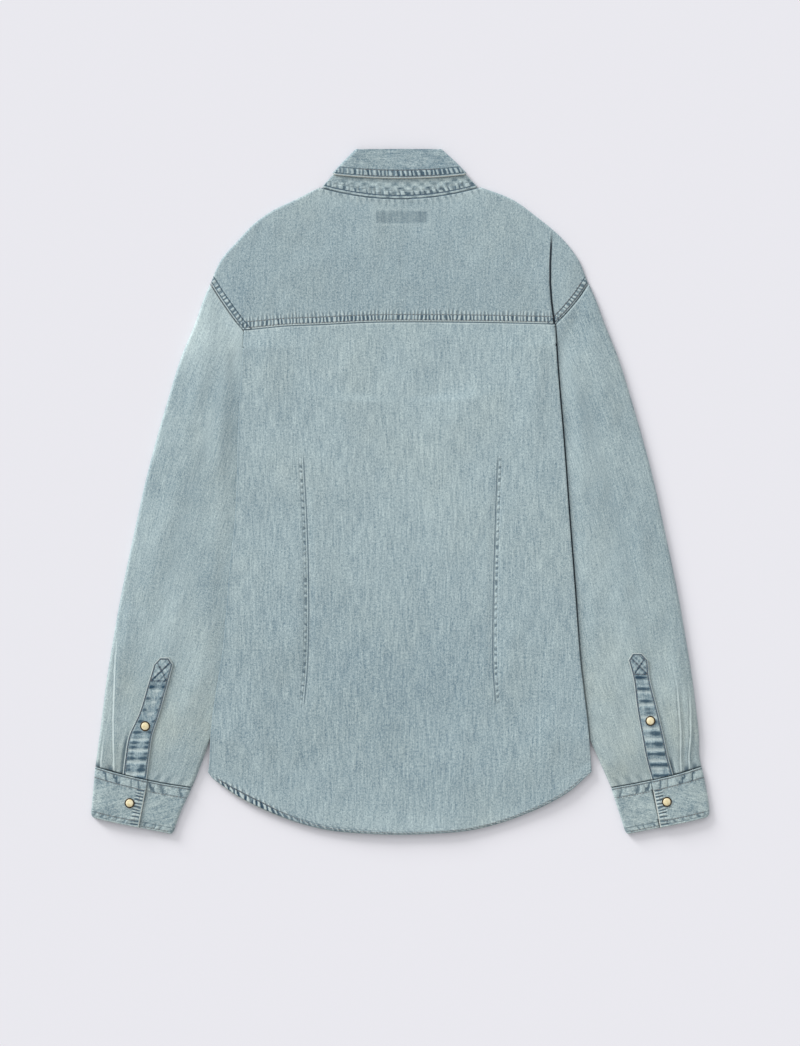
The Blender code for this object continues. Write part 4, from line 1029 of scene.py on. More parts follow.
grid, C, TT, n_up = sleeve_sheet()
X, Y, Z = grid[..., 0], grid[..., 1], grid[..., 2].copy()
upper = np.zeros(X.shape, bool)
upper[:, :n_up] = True
arm_d, arm_s = line_coords(X, Y, ARMHOLE_LINE)
cuff_d, cuff_s = line_coords(X, Y, CUFF_TOP_LINE)
inside = inside_body(X, Y)
edge_soft = smooth(np.minimum(C, 1 - C) / 0.10)
clear = (1 - smooth((body_half(Y) + 12 - X) / 14)) * smooth(np.abs(arm_d) / 16)
clear = clear * smooth(cuff_d / 30)
sleeve_tops = {}
for side, flip in SIDES:
    gx = -X if flip else X
    lift = crease_rise(SLEEVE_CREASES, X + (5 if flip else 0), Y - (12 if flip else 0))
    lift = lift + 0.30 * (ground(gx * 1.4, Y) + 1) + 0.15 * fine_ground(gx, Y)
    tuck = np.zeros_like(X)
    sleeve_marks_and_shade = np.zeros_like(X)
    tuck_fields = []
    for n, line in enumerate(TUCKS[side]):
        top_y = line[0].y
        x0 = np.interp(Y, [p.y for p in line[::-1]], [p.x for p in line[::-1]])
        reach = smooth((top_y - Y) / 60)
        run = X - x0
        tuck_fields.append(xyz(run if flip else -run, Y, reach * np.where(upper, 1.0, 0.0)))
        tuck += reach * 1.1 * np.where(run < 0, np.exp(-(run / 8) ** 2), np.exp(-(run / 1.8) ** 2))
        # painted shade: a dark line beside each tuck's fold
        sleeve_marks_and_shade += (reach * 0.28 * np.exp(-((run + 3.5) / 3.0) ** 2)
                      * (0.6 + 0.4 * pucker(Y, X, 17, 60 + n)))
        base = smooth((cuff_d - 9) / -7)
        sleeve_marks_and_shade += 0.85 * base * np.exp(-((run - 5.2) / 3.2) ** 4)
    gather = band(cuff_d, 0, 10, 8) * (X < 285) * pucker(cuff_s, cuff_d, 13, 63 + flip, 0.5)
    sleeve_marks_and_shade += 0.40 * np.clip(gather, -0.6, 1)
    strip = SLEEVE_PLACKET[side]
    beside = X - np.interp(Y, [r.y for r in strip], [r.outer for r in strip])
    low_part = smooth((-268 - Y) / 20) if flip else smooth((-300 - Y) / 12)
    sleeve_marks_and_shade += 0.85 * low_part * np.exp(-((beside - 2.0) / 2.6) ** 2) * (beside > -2)
    sleeve_marks_and_shade += -0.4 * low_part * np.exp(-((beside - 6.5) / 2.0) ** 2)
    puck = (0.30 * band(cuff_d, -1, 9, 5) * pucker(cuff_s, cuff_d, 9.0, 21, 0.3)
            + 0.25 * band(-arm_d, -1, 9, 5) * pucker(arm_s, arm_d, 6.0, 9))
    z = Z + np.where(upper, edge_soft * clear * lift + tuck * smooth((cuff_d + 2) / 4) + puck, 0)
    # on the left the sleeve's end reaches a little way under the back
    under_back = (smooth((4.0 - np.abs(arm_d)) / 3.5) * smooth((Y - 162) / 5)
                  * smooth((190 - Y) / 8) * upper * flip)
    g = xyz(X - 1.2 * under_back, Y, z - 0.35 * under_back)
    f = plain_fields(gx, Y, 8.0 if flip else 12.0, u=(C - 0.3) * 200 + 400 * flip, v=-TT * 590)
    on_face = np.where(upper, 1.0, 0.0)
    f["seam0"] = xyz(arm_d, arm_s + (0 if flip else 90), on_face * smooth((Y - 187) / 3))
    f["seam1"] = xyz(-cuff_d, cuff_s, on_face * (Y < -250))
    f["seam2"], f["seam3"] = tuck_fields
    outer_edge = smooth((0.035 - (1 - C)) / 0.035)
    f["warm"] = (0.50 * smooth((-140 - Y) / 130) * (0.8 if flip else 1.0)
                 - (0.16 if flip else 0.0) * smooth((Y - 60) / 80))
    f["tone"] = ((0.22 if flip else -0.04) * smooth((Y - 90) / 90)
                 + (0.0 if flip else 0.07) * smooth((-150 - Y) / 90)
                 + 0.06 * blob(X, Y, 250, -200, 60, 110)
                 + 0.10 * outer_edge + 0.06 * ground(gx * 1.3, Y * 0.9))
    # painted shade on the sleeve: a dark line along the back's right fold edge that lies over it,
    # and shade where the back covers it
    under_line = smooth((body_half(Y) + (-0.6 if flip else 0.9) - X) / 0.9) * upper
    f["mark"] = np.where(upper, sleeve_marks_and_shade, 0)
    f["slit"] = xyz((X - body_half(Y) - 0.45) * 0.66, Y,
                    (0.0 if flip else 0.97) * smooth((194 - Y) / 3)
                    * (1 - 0.4 * smooth((-90 - Y) / 150)) * smooth((Y + 292) / 10) * upper)
    f["shade"] = ((0.0 if flip else 0.6) * under_line
                  * (X < body_half(Y) - 1) * (Y < 192) * (Y > -290))
    g, f = on_side(flip, g, f)
    cloth_mesh("cloth_sleeve_" + side, g, denim_sleeve, ring=True, fields=f)
    sleeve_tops[side] = xyz(X, Y, z)[:, :n_up]


# ---------------------------------------------------------------- heights over a sheet
class Ground:
    """Height of a sheet's upper side over a point, from its own grid."""
    def __init__(self, *grids):
        pts = np.concatenate([g.reshape(-1, 3) for g in grids])
        self.z = pts[:, 2]
        self.tree = KDTree(len(pts))
        for k, p in enumerate(pts):
            self.tree.insert((p[0], p[1], 0), k)
        self.tree.balance()

    def __call__(self, x, y):
        out = []
        for px_, py_ in zip(np.ravel(x), np.ravel(y)):
            found = self.tree.find_n((px_, py_, 0), 4)
            w = np.array([1 / (q[2] + 0.2) for q in found])
            out.append(float((w * self.z[[q[1] for q in found]]).sum() / w.sum()))
        return np.array(out).reshape(np.shape(x))


sleeve_grounds = {side: Ground(top) for side, top in sleeve_tops.items()}

# ---------------------------------------------------------------- sleeve plackets
rows_n, cols_n = 140, 25
TIP_RISE, TIP_INSET = 8.0, 6.2


def placket_strip(side):
    """Plan of one placket's strip, its distance from the outline and its side edges."""
    strip = SLEEVE_PLACKET[side]
    y0, y1 = strip[0].y, strip[-1].y
    py = np.r_[np.linspace(y0, y1, rows_n - 14, endpoint=False), np.linspace(y1, y1 + TIP_RISE, 14)]
    lo = spline([q.y for q in strip], [q.inner for q in strip])
    hi = spline([q.y for q in strip], [q.outer for q in strip])
    above = np.clip(py - y1, 0, None)
    a = lo(np.minimum(py, y1)) + above * (TIP_INSET / TIP_RISE) - above * 0.15
    b = hi(np.minimum(py, y1)) - above * (TIP_INSET / TIP_RISE) - above * 0.15
    w = np.linspace(0, 1, cols_n)
    x = a[:, None] + (b - a)[:, None] * w[None]
    y = np.repeat(py[:, None], cols_n, 1)
    foot = smooth((-300 - y) / 30)
    y = y + foot * (np.interp(x, [p.x for p in CUFF_SEAM], [p.y for p in CUFF_SEAM]) + 0.5 - y0)
    lean = math.hypot(1, TIP_INSET / TIP_RISE)
    slope = np.where(py > y1, lean, 1.0)[:, None]
    out = np.minimum(np.minimum(x - a[:, None], b[:, None] - x) / slope, y1 + TIP_RISE - y)
    return x, y, np.maximum(out, 0), xyz(a, py), xyz(b, py)


placket_grids = {}
for side, flip in SIDES:
    X, Y, outline, edge_a, edge_b = placket_strip(side)
    box_y = PLACKET_BOX[side]
    seed = 31 + 5 * flip
    cross = pucker(Y, X * 0.5, 13.0, seed) + 0.6 * pucker(Y, X * 0.8, 6.5, seed + 1)
    cross = cross + 0.5 * pucker(X + 0.3 * Y, Y, 19.0, seed + 2)
    inside_strip = smooth((outline - 2.0) / 1.6)
    Z0 = sleeve_grounds[side](X, Y)
    for k in range(3):
        Z0[1:-1, 1:-1] = (Z0[1:-1, 1:-1] * 2 + Z0[:-2, 1:-1] + Z0[2:, 1:-1]
                          + Z0[1:-1, :-2] + Z0[1:-1, 2:]) / 6
    Z = Z0 + CLOTH / 2 + 0.9 + 0.30 * inside_strip * cross + 0.15 * band(outline, 1.4, 2.6, 0.8)
    f = plain_fields(X, Y, 21.0 if flip else 25.0, u=X + (90 if flip else 0))
    f["seam0"] = xyz(outline, Y + X * 0.3, np.ones_like(X))
    below_box = smooth((box_y - 1 - Y) / 1.5)
    box = 1 - below_box
    f["mark"] = inside_strip * (
        1.05 * below_box * smooth((cross - 0.25) / 0.6)
        - 0.75 * below_box * smooth((-cross - 0.30) / 0.5)
        + 0.55 * np.exp(-((Y - box_y + 5) / 3.2) ** 2)
        + 1.0 * box * smooth((pucker(X + Y, X - Y, 7.5, seed + 3) - 0.05) / 0.5)
        - 0.45 * box * smooth(-pucker(X - Y, X + Y, 7, seed + 4) / 0.6)
        - 0.50 * below_box * smooth((pucker(X + 0.15 * Y, Y, 8.5, seed + 5) - 0.45) / 0.4))
    top_in = SLEEVE_PLACKET[side][-1].y + 2
    la, ta_ = np.interp([box_y, top_in], *edge_a.T[::-1]) + 2.6
    lb, tb_ = np.interp([box_y, top_in], *edge_b.T[::-1]) - 2.6
    crossed = np.full_like(X, 99.0)
    for q0, q1 in (((la, box_y), (tb_, top_in)), ((lb, box_y), (ta_, top_in)),
                   ((la, box_y), (lb, box_y))):
        dq, sq = line_coords(X, Y, np.array([q0, q1]))
        span = math.dist(q0, q1)
        dq = np.where((sq < -0.5) | (sq > span + 0.5), 99.0, np.abs(dq))
        crossed = np.minimum(crossed, dq)
    f["mark"] += 1.2 * smooth((1.3 - crossed) / 0.8)
    f["tone"] = -0.10 + 0.06 * smooth((Y + 250) / 40) - 0.04 * flip
    g = xyz(X, Y, Z)
    placket_grids[side] = (Ground(g), edge_a, edge_b)
    g, f = on_side(flip, g, f)
    cloth_mesh("cloth_sleeve_placket_" + side, g, denim_placket, fields=f, thickness=1.1)


# ---------------------------------------------------------------- cuffs
def cuff_plan(c, t):
    top_, end_ = cuff_seam(c), cuff_end(c)
    return top_ + (end_ - top_) * t + np.array([0.0, -0.25]) * (1 - t)


cuff_rows, cuff_c = [], []
cuff_ts = np.linspace(0, 1, 52)
for t in cuff_ts:
    lap_x = CUFF_LAP_TOP + (CUFF_LAP_END - CUFF_LAP_TOP) * t
    pa, pb = cuff_plan(0.0, t), cuff_plan(1.0, t)
    width = pb[0] - pa[0]
    round_in = CUFF_CORNER * (1 - math.sqrt(max(1 - max((t - 0.9) / 0.1, 0) ** 2, 0)))
    r_c = round_in / width
    cl, cu = (lap_x - pa[0]) / width, (lap_x + CUFF_UNDERLAP - pa[0]) / width
    e = 2.4 / width
    low, high = ON_SURFACE, SLEEVE_FREE + 0.3
    mid_z, half = (low + high) / 2, (high - low) / 2
    out_c = 1 - r_c * 0.8
    in_c = r_c * 0.5
    c1 = np.linspace(cl, out_c - e, 44)
    z1 = high + LAP * smooth((0.985 - c1) / 0.16) + 0.1
    a = np.radians(np.linspace(75, -90, 9))
    c2, z2 = out_c - e + e * np.cos(a), mid_z + half * np.sin(a)
    c3 = np.linspace(out_c - e, in_c + e, 26)[1:]
    z3 = np.full_like(c3, low)
    a = np.radians(np.linspace(-75, 90, 9))
    c4, z4 = in_c + e - e * np.cos(a), mid_z + half * np.sin(a)
    c5 = np.linspace(in_c + e, cu, 44)[1:]
    z5 = np.full_like(c5, high)
    c = np.r_[c1, c2, c3, c4, c5]
    z = np.r_[z1, z2, z3, z4, z5]
    p = cuff_plan(c, t)
    cuff_rows.append(xyz(p[:, 0], p[:, 1], z))
    cuff_c.append(c)
    n_over, n_under = len(c1), len(c5)
cuff = np.array(cuff_rows)
X, Y, Z = cuff[..., 0], cuff[..., 1], cuff[..., 2].copy()
cols = X.shape[1]
over = np.zeros(X.shape, bool)
over[:, :n_over + 4] = True
lower_top = np.zeros(X.shape, bool)
lower_top[:, cols - n_under - 4:] = True
top_d, top_s = line_coords(X, Y, CUFF_TOP_LINE)
end_d, end_s = line_coords(X, Y, CUFF_END_LINE)
lap_d, lap_s = line_coords(X, Y, CUFF_LAP_LINE)
lap_d = np.abs(lap_d)
hidden = lower_top & (X > CUFF_LAP_TOP + (CUFF_LAP_END - CUFF_LAP_TOP) * cuff_ts[:, None] - 1.0)
free = (over | lower_top) & ~hidden
roll = (0.25 * band(-top_d, 1, 13, 5) * pucker(top_s, top_d, 9.0, 22, 0.3)
        + 0.30 * band(end_d, 0, 7, 4) * pucker(end_s, end_d, 8.0, 23, 0.3)
        + 0.30 * band(lap_d, 1, 11, 5) * pucker(lap_s, lap_d, 3.9, 24) * over
        + 0.12 * fine_ground(X * 1.6, Y * 1.6))
Z = Z + np.where(free, roll + 0.15, 0) * np.where(lower_top, 0.7, 1.0)
for side, flip in SIDES:
    f = plain_fields(X, Y, 41.0 if flip else 45.0, u=X * 0.26 + Y, v=X - Y * 0.26)
    one = np.where(free, 1.0, 0.0)
    f["seam0"] = xyz(-top_d, top_s, one)
    f["seam1"] = xyz(lap_d, lap_s, np.where(over, smooth((lap_s - 9) / 5), 0.0))
    f["seam2"] = xyz(np.abs(end_d), end_s, one)
    f["tone"] = 0.08 * ground(X * 3, Y * 3) + (0.0 if flip else 0.08)
    f["shade"] = (0.2 if flip else 0.85) * np.where(hidden, 1, 0)
    side_edge = np.minimum(np.array(cuff_c), 1 - np.array(cuff_c)) * 100
    f["mark"] = np.where(free, -0.45 * smooth((1.6 - side_edge) / 1.6), 0)
    g, f = on_side(flip, xyz(X, Y, Z), f)
    cloth_mesh("cloth_cuff_" + side, g, denim_cuff, fields=f, thickness=0.95)
cuff = xyz(X, Y, Z)
cuff_over_ground = Ground(cuff[:, :n_over + 2])
cuff_under_ground = Ground(cuff[:, cols - n_under - 2:][:, :30])

# ---------------------------------------------------------------- collar
CREASE_LOW = np.array([NECK_HALF, NECK_SIDE_Y + 0.6])
CREASE_TOP = np.array([COLLAR_TOP_HALF, COLLAR_TOP_Y])
crease_dir = (CREASE_TOP - CREASE_LOW) / np.linalg.norm(CREASE_TOP - CREASE_LOW)
crease_out = np.array([crease_dir[1], -crease_dir[0]])
CREASE_DEPTH = (LEAF_BACK - ON_SURFACE) / 2
STAND_TOP_PART, LEAF_EDGE_PART = 0.62, 0.36
LEAF_POINT = np.array([50.0, 240.0])
COLLAR_GAP_HALF = 3.5


def crease_at(part):
    return CREASE_LOW + (CREASE_TOP - CREASE_LOW) * part - crease_out * CREASE_DEPTH


def level_at(z):
    return lambda x: z + 0 * np.asarray(x, float)


def level_upper(x):
    x = np.asarray(x, float)
    return PLACKET_LEVEL + (UNDERLAP_LEVEL - PLACKET_LEVEL) * smooth((50 - x) / 30)


level_lower, on_surface = level_at(PLACKET_LEVEL), level_at(ON_SURFACE)
COLLAR_N = (30, 12, 56)             # points along the front, round the fold and along the back


def collar_curve(front_end, part, back_y, z_front, z_back, overlap=0.0):
    """One line round the right half of the collar, from its front end to the centre back."""
    front_n, turn_n, back_n = COLLAR_N
    c = crease_at(part)
    a = math.pi / 2 * np.arange(front_n + 1) / front_n
    x = front_end[0] + (c[0] - front_end[0]) * np.sin(a)
    y = c[1] + (front_end[1] - c[1]) * np.cos(a)
    pts = xyz(x, y, z_front(x))
    if overlap:
        ox = np.linspace(overlap, 0, 8, endpoint=False)
        oy = front_end[1] + neck_front_y(ox) - FRONT_NECK_Y
        pts = np.concatenate([xyz(-ox, oy, z_front(-ox)), pts])
    zf = float(z_front(c[0]))
    r = (z_back - zf) / 2
    a = math.pi * np.arange(1, turn_n) / turn_n
    arc = xyz(c[0] + crease_out[0] * r * np.sin(a), c[1] + crease_out[1] * r * np.sin(a),
              zf + r - r * np.cos(a))
    x = c[0] * (1 - np.arange(back_n + 1) / back_n)
    back_part = xyz(x, back_y + (c[1] - back_y) * (x / c[0]) ** 2, np.full_like(x, z_back))
    return np.concatenate([pts, arc, back_part])


def stand_half(level):
    lines = []
    for w in np.linspace(0, 1, 20):
        lines.append(collar_curve((0.0, FRONT_NECK_Y + 0.4 + (STAND_HEIGHT - 0.4) * w),
                                  0.03 + (STAND_TOP_PART - 0.03) * w,
                                  BACK_NECK_Y - 0.5 + (STAND_HEIGHT + 0.5) * w, level, STAND_BACK,
                                  overlap=13.0))
    return np.array(lines)


upper_half, lower_half = stand_half(level_upper), mirror(stand_half(level_lower))
stand = np.concatenate([lower_half, upper_half[:, -2::-1]], axis=1)
X, Y, Z = stand[..., 0], stand[..., 1], stand[..., 2].copy()
face = (Z > STAND_BACK - 0.3) & (Y > 330)
neck_d, neck_s = line_coords(X, Y, NECK_LINE)
Z = Z + np.where(face, 0.40 * band(neck_d, 0, 13, 6) * pucker(neck_s, neck_d, 7.0, 10, 0.2)
                 * (0.4 + 0.6 * smooth((20 - neck_d) / 12)) + 0.10 * fine_ground(X * 1.6, Y * 2), 0)
f = plain_fields(X, Y, 51.0, u=Y, v=X)
f["seam0"] = xyz(neck_d, neck_s, np.where(face, 1.0, 0.0))
mottle = pucker(X, Y * 1.5, 17, 41) * pucker(Y * 1.2, X, 11, 42)
streaky = pucker(Y * 2.2, X * 0.4, 9, 43) * pucker(X, Y, 23, 44)
f["mark"] = np.where(face, 0.60 * smooth((mottle - 0.1) / 0.5) * smooth((21 - neck_d) / 8)
                     + 0.50 * smooth((streaky - 0.15) / 0.4) * smooth((19 - neck_d) / 6)
                     - 0.50 * smooth((-mottle - 0.12) / 0.4), 0)
leaf_edge_y = LEAF_EDGE_Y + (crease_at(LEAF_EDGE_PART)[1] - LEAF_EDGE_Y) * (
    X / crease_at(LEAF_EDGE_PART)[0]) ** 2
f["shade"] = np.where(face, 0.55 * smooth((Y - leaf_edge_y + 1.2) / 1.6), 0)
stand = xyz(X, Y, Z)
cloth_mesh("cloth_collar_stand", stand, denim_stand, fields=f)


def leaf_half(level):
    radius = (LEAF_BACK - STAND_BACK) / 2
    seam_end = (COLLAR_GAP_HALF, FRONT_NECK_Y + STAND_HEIGHT + 1.0)
    base_end = (COLLAR_GAP_HALF, FRONT_NECK_Y + STAND_HEIGHT + 4.0)
    base = (base_end, 1.0, COLLAR_TOP_Y - radius)
    seam = collar_curve(seam_end, STAND_TOP_PART + 0.05, BACK_NECK_Y + STAND_HEIGHT + 0.6, level,
                        STAND_BACK)
    low_ = collar_curve(*base, level, STAND_BACK)
    high_ = collar_curve(*base, on_surface, LEAF_BACK)
    over_ = low_ - seam
    over_[:, 2] = 0
    over_ /= np.linalg.norm(over_, axis=1)[:, None]
    half_ = (low_ - high_) / 2
    r = np.linalg.norm(half_, axis=1)[:, None]
    lines = [seam + (low_ - seam) * k / 5 for k in range(6)]
    for a in np.radians(np.arange(22.5, 180, 22.5)):
        lines.append((low_ + high_) / 2 + half_ * math.cos(a) + over_ * r * math.sin(a))
    start = np.array(base_end)
    for w in np.linspace(0, 1, 30):
        p = start + (LEAF_POINT - start) * w
        part = np.interp(w, [0, 0.5, 1], [1.0, 0.67, LEAF_EDGE_PART])
        yy = np.interp(w, [0, 0.5, 1], [COLLAR_TOP_Y - radius, 377.5, LEAF_EDGE_Y])
        lines.append(collar_curve(tuple(p), part, yy, on_surface, LEAF_BACK))
    return np.array(lines)


leaf_right, leaf_left = leaf_half(level_upper), mirror(leaf_half(level_lower))
leaf = np.concatenate([leaf_left, leaf_right[:, -2::-1]], axis=1)
X, Y, Z = leaf[..., 0], leaf[..., 1], leaf[..., 2].copy()
over_top = Y - COLLAR_TOP_Y + 1.5
Y = np.where(over_top > 0, COLLAR_TOP_Y - 1.5 + 0.45 * np.tanh(over_top / 0.45), Y)
LEAF_LINE = leaf[-1][:, :2]
back_span = slice(COLLAR_N[0] + 6, leaf.shape[1] - COLLAR_N[0] - 6)
LEAF_BACK_LINE = LEAF_LINE[back_span]
edge_d, edge_s = line_coords(X, Y, LEAF_BACK_LINE)
edge_d = np.abs(edge_d)
face = (Z > LEAF_BACK - 0.8) & (Y > 350)
Z = Z + np.where(face, 0.25 * band(edge_d, 0.3, 8.4, 1.2)
                 + 0.38 * band(edge_d, 1, 9, 4) * pucker(edge_s, edge_d, 5.3, 51, 0.15)
                 + 0.12 * fine_ground(X * 1.6, Y * 1.6), 0)
f = plain_fields(X, Y, 55.0, u=Y, v=X)
front_n = COLLAR_N[0] + 7           # the edge runs on round each point, on the underside
left_d, left_s = line_coords(X, Y, LEAF_LINE[:front_n])
right_d, right_s = line_coords(X, Y, LEAF_LINE[-front_n:])
under_d = np.abs(np.where(X < 0, left_d, right_d))
under_s = np.where(X < 0, left_s, right_s)
f["seam0"] = xyz(np.where(face, edge_d, under_d), np.where(face, edge_s, under_s),
                 np.where(face | (Z < 1.2), 1.0, 0.0))
f["mark"] = np.where(face, -0.75 * smooth((1.3 - edge_d) / 1.0)
                     + 0.55 * smooth((Y - COLLAR_TOP_Y + 2.3) / 1.0), 0)
leaf = xyz(X, Y, Z)
cloth_mesh("cloth_collar_leaf", leaf, denim_leaf, fields=f)
LEAF_SIDE = 1.0 if offset_sign(LEAF_BACK_LINE) > 0 else -1.0

# ---------------------------------------------------------------- thread
def spun(name, dark_side, light_side):
    sh = Shader(name)
    twist = sh.noise(sh.tree.nodes.new("ShaderNodeTexCoord").outputs["Object"], 900.0, 2, 0.5)
    sh.tree.links.new(sh.mix(twist, dark_side, light_side), sh.bsdf.inputs["Base Color"])
    sh.bsdf.inputs["Roughness"].default_value = 0.7
    sh.bsdf.inputs["Specular IOR Level"].default_value = 0.2
    return sh.mat


thread_taupe = spun("thread", (0.10, 0.095, 0.10), (0.30, 0.26, 0.24))
thread_blue = spun("thread_blue", (0.045, 0.085, 0.14), (0.13, 0.20, 0.27))
STITCH, STITCH_GAP, THREAD_R = 2.3, 0.8, 0.24


def offset(line, by):
    """The line moved sideways to its left by a distance."""
    line = np.asarray(line, float)
    t_ = np.gradient(line, axis=0)
    n = xyz(-t_[:, 1], t_[:, 0]) / np.linalg.norm(t_, axis=1)[:, None]
    return line + n * np.broadcast_to(by, len(line))[:, None]


def straight_line(a, b, n):
    return xyz(np.linspace(a[0], b[0], n), np.linspace(a[1], b[1], n))


def stitch_rows(name, rows, mat=thread_taupe):
    """rows: (plan line, height function, mirrored); one joined mesh of stitches."""
    verts, faces = [], []
    ring = np.radians(np.arange(0, 360, 60))
    stations = [(-0.5, 0.35), (-0.36, 1.0), (0.0, 1.12), (0.36, 1.0), (0.5, 0.35)]
    for line, height, flip in rows:
        line = np.asarray(line, float)
        seg = np.hypot(*np.diff(line, axis=0).T)
        total = np.r_[0, np.cumsum(seg)]
        n = int(total[-1] / (STITCH + STITCH_GAP))
        if n < 1:
            continue
        mid_s = (np.arange(n) + 0.5) * total[-1] / n
        at = lambda q: xyz(np.interp(q, total, line[:, 0]), np.interp(q, total, line[:, 1]))
        p0, p1 = at(mid_s - STITCH / 2), at(mid_s + STITCH / 2)
        z0, z1 = height(p0[:, 0], p0[:, 1]), height(p1[:, 0], p1[:, 1])
        for a_, b_, za, zb in zip(p0, p1, z0, z1):
            if flip:
                a_, b_ = a_ * (-1, 1), b_ * (-1, 1)
            a_, b_ = np.array(settle(*a_)), np.array(settle(*b_))
            d = (b_ - a_) / max(np.linalg.norm(b_ - a_), 1e-6)
            side = np.array([-d[1], d[0]])
            base = len(verts)
            for f_, r_ in stations:
                c_ = a_ + (b_ - a_) * (f_ + 0.5)
                z_ = za + (zb - za) * (f_ + 0.5) + CLOTH / 2 + 0.05 - 0.12 * (abs(f_) > 0.45)
                for w_ in ring:
                    o = side * math.cos(w_) * THREAD_R * r_
                    verts.append((c_[0] + o[0], c_[1] + o[1], z_ + math.sin(w_) * THREAD_R * r_))
            k = len(ring)
            for q in range(len(stations) - 1):
                for w_ in range(k):
                    m = (w_ + 1) % k
                    faces.append((base + q * k + w_, base + q * k + m, base + (q + 1) * k + m,
                                  base + (q + 1) * k + w_))
            faces.append(tuple(base + w_ for w_ in reversed(range(k))))
            last = base + (len(stations) - 1) * k
            faces.append(tuple(last + w_ for w_ in range(k)))
    solid_piece(name, verts, faces, mat)


yoke_top_ground = Ground(yoke[:n_top + 1])
back_face = back[:, mid - BACK_COUNTS[0] + 1:mid + BACK_COUNTS[0]]
back_ground = Ground(back_face[tops_back < ABOVE_ALL])
leaf_ground = Ground(leaf[-28:])
stand_ground = Ground(stand[:, stand.shape[1] // 4:-stand.shape[1] // 4])
arm_up = armhole(np.linspace(0.03, 0.955, 40))
stitch_rows("thread_yoke", [(offset(YOKE_LINE[1:-1], r), yoke_top_ground, False)
                            for r in (YOKE_SEAM.row1, YOKE_SEAM.row2)]
            + [(offset(arm_up, r), yoke_top_ground, flip)
               for r in (ARM_SEAM.row1, ARM_SEAM.row2) for flip in (False, True)])
stitch_rows("thread_neck", [(offset(NECK_LINE[3:-3], NECK_SEAM.row1), stand_ground, False)],
            thread_blue)
stitch_rows("thread_collar", [(offset(LEAF_BACK_LINE[k:-k], LEAF_SIDE * r), leaf_ground, False)
                              for k, r in ((12, LEAF_SEAM.row1), (14, LEAF_SEAM.row2))])
hem_row_at = np.interp(HEM_X, HEM_AT, [2, 3.4, 6.6, 7.2, 5.6, 3.2, 2.2, 2.2, 2.6])
stitch_rows("thread_hem", [(offset(HEM_LINE[2:-2], hem_row_at[2:-2]), back_ground, False)])
cuff_threads, placket_threads = [], []
for side, flip in SIDES:
    over_line = CUFF_TOP_LINE[CUFF_TOP_LINE[:, 0] > CUFF_LAP_TOP + 1]
    under_line_ = CUFF_TOP_LINE[CUFF_TOP_LINE[:, 0] < CUFF_LAP_TOP - 1]
    for r, cut, shift in ((CUFF_SEAM_LOOK.row1, 1, 0), (CUFF_SEAM_LOOK.row2, 2, 2)):
        cuff_threads += [(offset(over_line[:-1], -r), cuff_over_ground, flip),
                         (offset(under_line_[1:], -r)[:-cut] + [shift, 0], cuff_under_ground, flip)]
    lap = CUFF_LAP_LINE + np.array([[5.6, 0], [5.6, 0]])
    cuff_threads.append((straight_line(lap[0] + [2.4, -12.5], lap[1] + [0, 7], 30),
                         cuff_over_ground, flip))
    end_over = CUFF_END_LINE[(CUFF_END_LINE[:, 0] > CUFF_LAP_END + 6)][:-3]
    cuff_threads.append((offset(end_over, EDGE_SEAM.row2), cuff_over_ground, flip))
    end_under = CUFF_END_LINE[(CUFF_END_LINE[:, 0] < CUFF_LAP_END - 2)][3:]
    cuff_threads.append((offset(end_under, EDGE_SEAM.row1), cuff_under_ground, flip))
    ground_p, edge_a, edge_b = placket_grids[side]
    pa_, pb_ = edge_a + [2.2, 0], edge_b - [2.2, 0]
    top_y = edge_a[-1][1] - 2.2
    keep_ = pa_[:, 1] < top_y - 1
    up_a, down_b = pa_[keep_], pb_[keep_][::-1]
    corners = [[up_a[-1][0] + 1, top_y], [down_b[0][0] - 1, top_y]]
    loop = np.concatenate([up_a[6:], corners, down_b[:-6]])
    placket_threads.append((loop, ground_p, flip))
    by, ty = PLACKET_BOX[side], SLEEVE_PLACKET[side][-1].y + 2
    xa, ta = np.interp([by, ty], *pa_.T[::-1])
    xb, tb = np.interp([by, ty], *pb_.T[::-1])
    for p0, p1 in (((xa, by), (xb, by)), ((xa, by + 1), (tb, ty)), ((xb, by + 1), (ta, ty))):
        placket_threads.append((straight_line(p0, p1, 12), ground_p, flip))
stitch_rows("thread_cuffs", cuff_threads)
stitch_rows("thread_plackets", placket_threads)

# ---------------------------------------------------------------- snaps


def simple(name, colour, rough, metallic=0.0):
    sh = Shader(name)
    sh.bsdf.inputs["Roughness"].default_value = rough
    sh.bsdf.inputs["Metallic"].default_value = metallic
    sh.bsdf.inputs["Base Color"].default_value = (*colour, 1)
    return sh


def swirl(sh, scale, rough, low, high, dark_side, light_side):
    """Uneven colour, from a noise with so many cells to the millimetre."""
    n = sh.tree.nodes.new("ShaderNodeTexCoord")
    m = sh.tree.nodes.new("ShaderNodeMapping")
    m.inputs["Scale"].default_value = (1 / MM,) * 3
    sh.tree.links.new(n.outputs["Object"], m.inputs["Vector"])
    much = sh.noise(m.outputs[0], scale, 3, rough).ramp(low, high)
    sh.tree.links.new(sh.mix(much, dark_side, light_side), sh.bsdf.inputs["Base Color"])


pearl = simple("pearl", (0.70, 0.56, 0.30), 0.22)
swirl(pearl, 0.22, 0.55, 0.35, 0.65, (0.70, 0.58, 0.31), (0.88, 0.79, 0.54))
pearl.bsdf.inputs["Coat Weight"].default_value = 0.6
pearl.bsdf.inputs["Coat Roughness"].default_value = 0.08
brass = simple("antique_brass", (0.10, 0.07, 0.04), 0.42, 0.9)
swirl(brass, 0.9, 0.6, 0.5, 0.72, (0.055, 0.038, 0.024), (0.24, 0.16, 0.08))


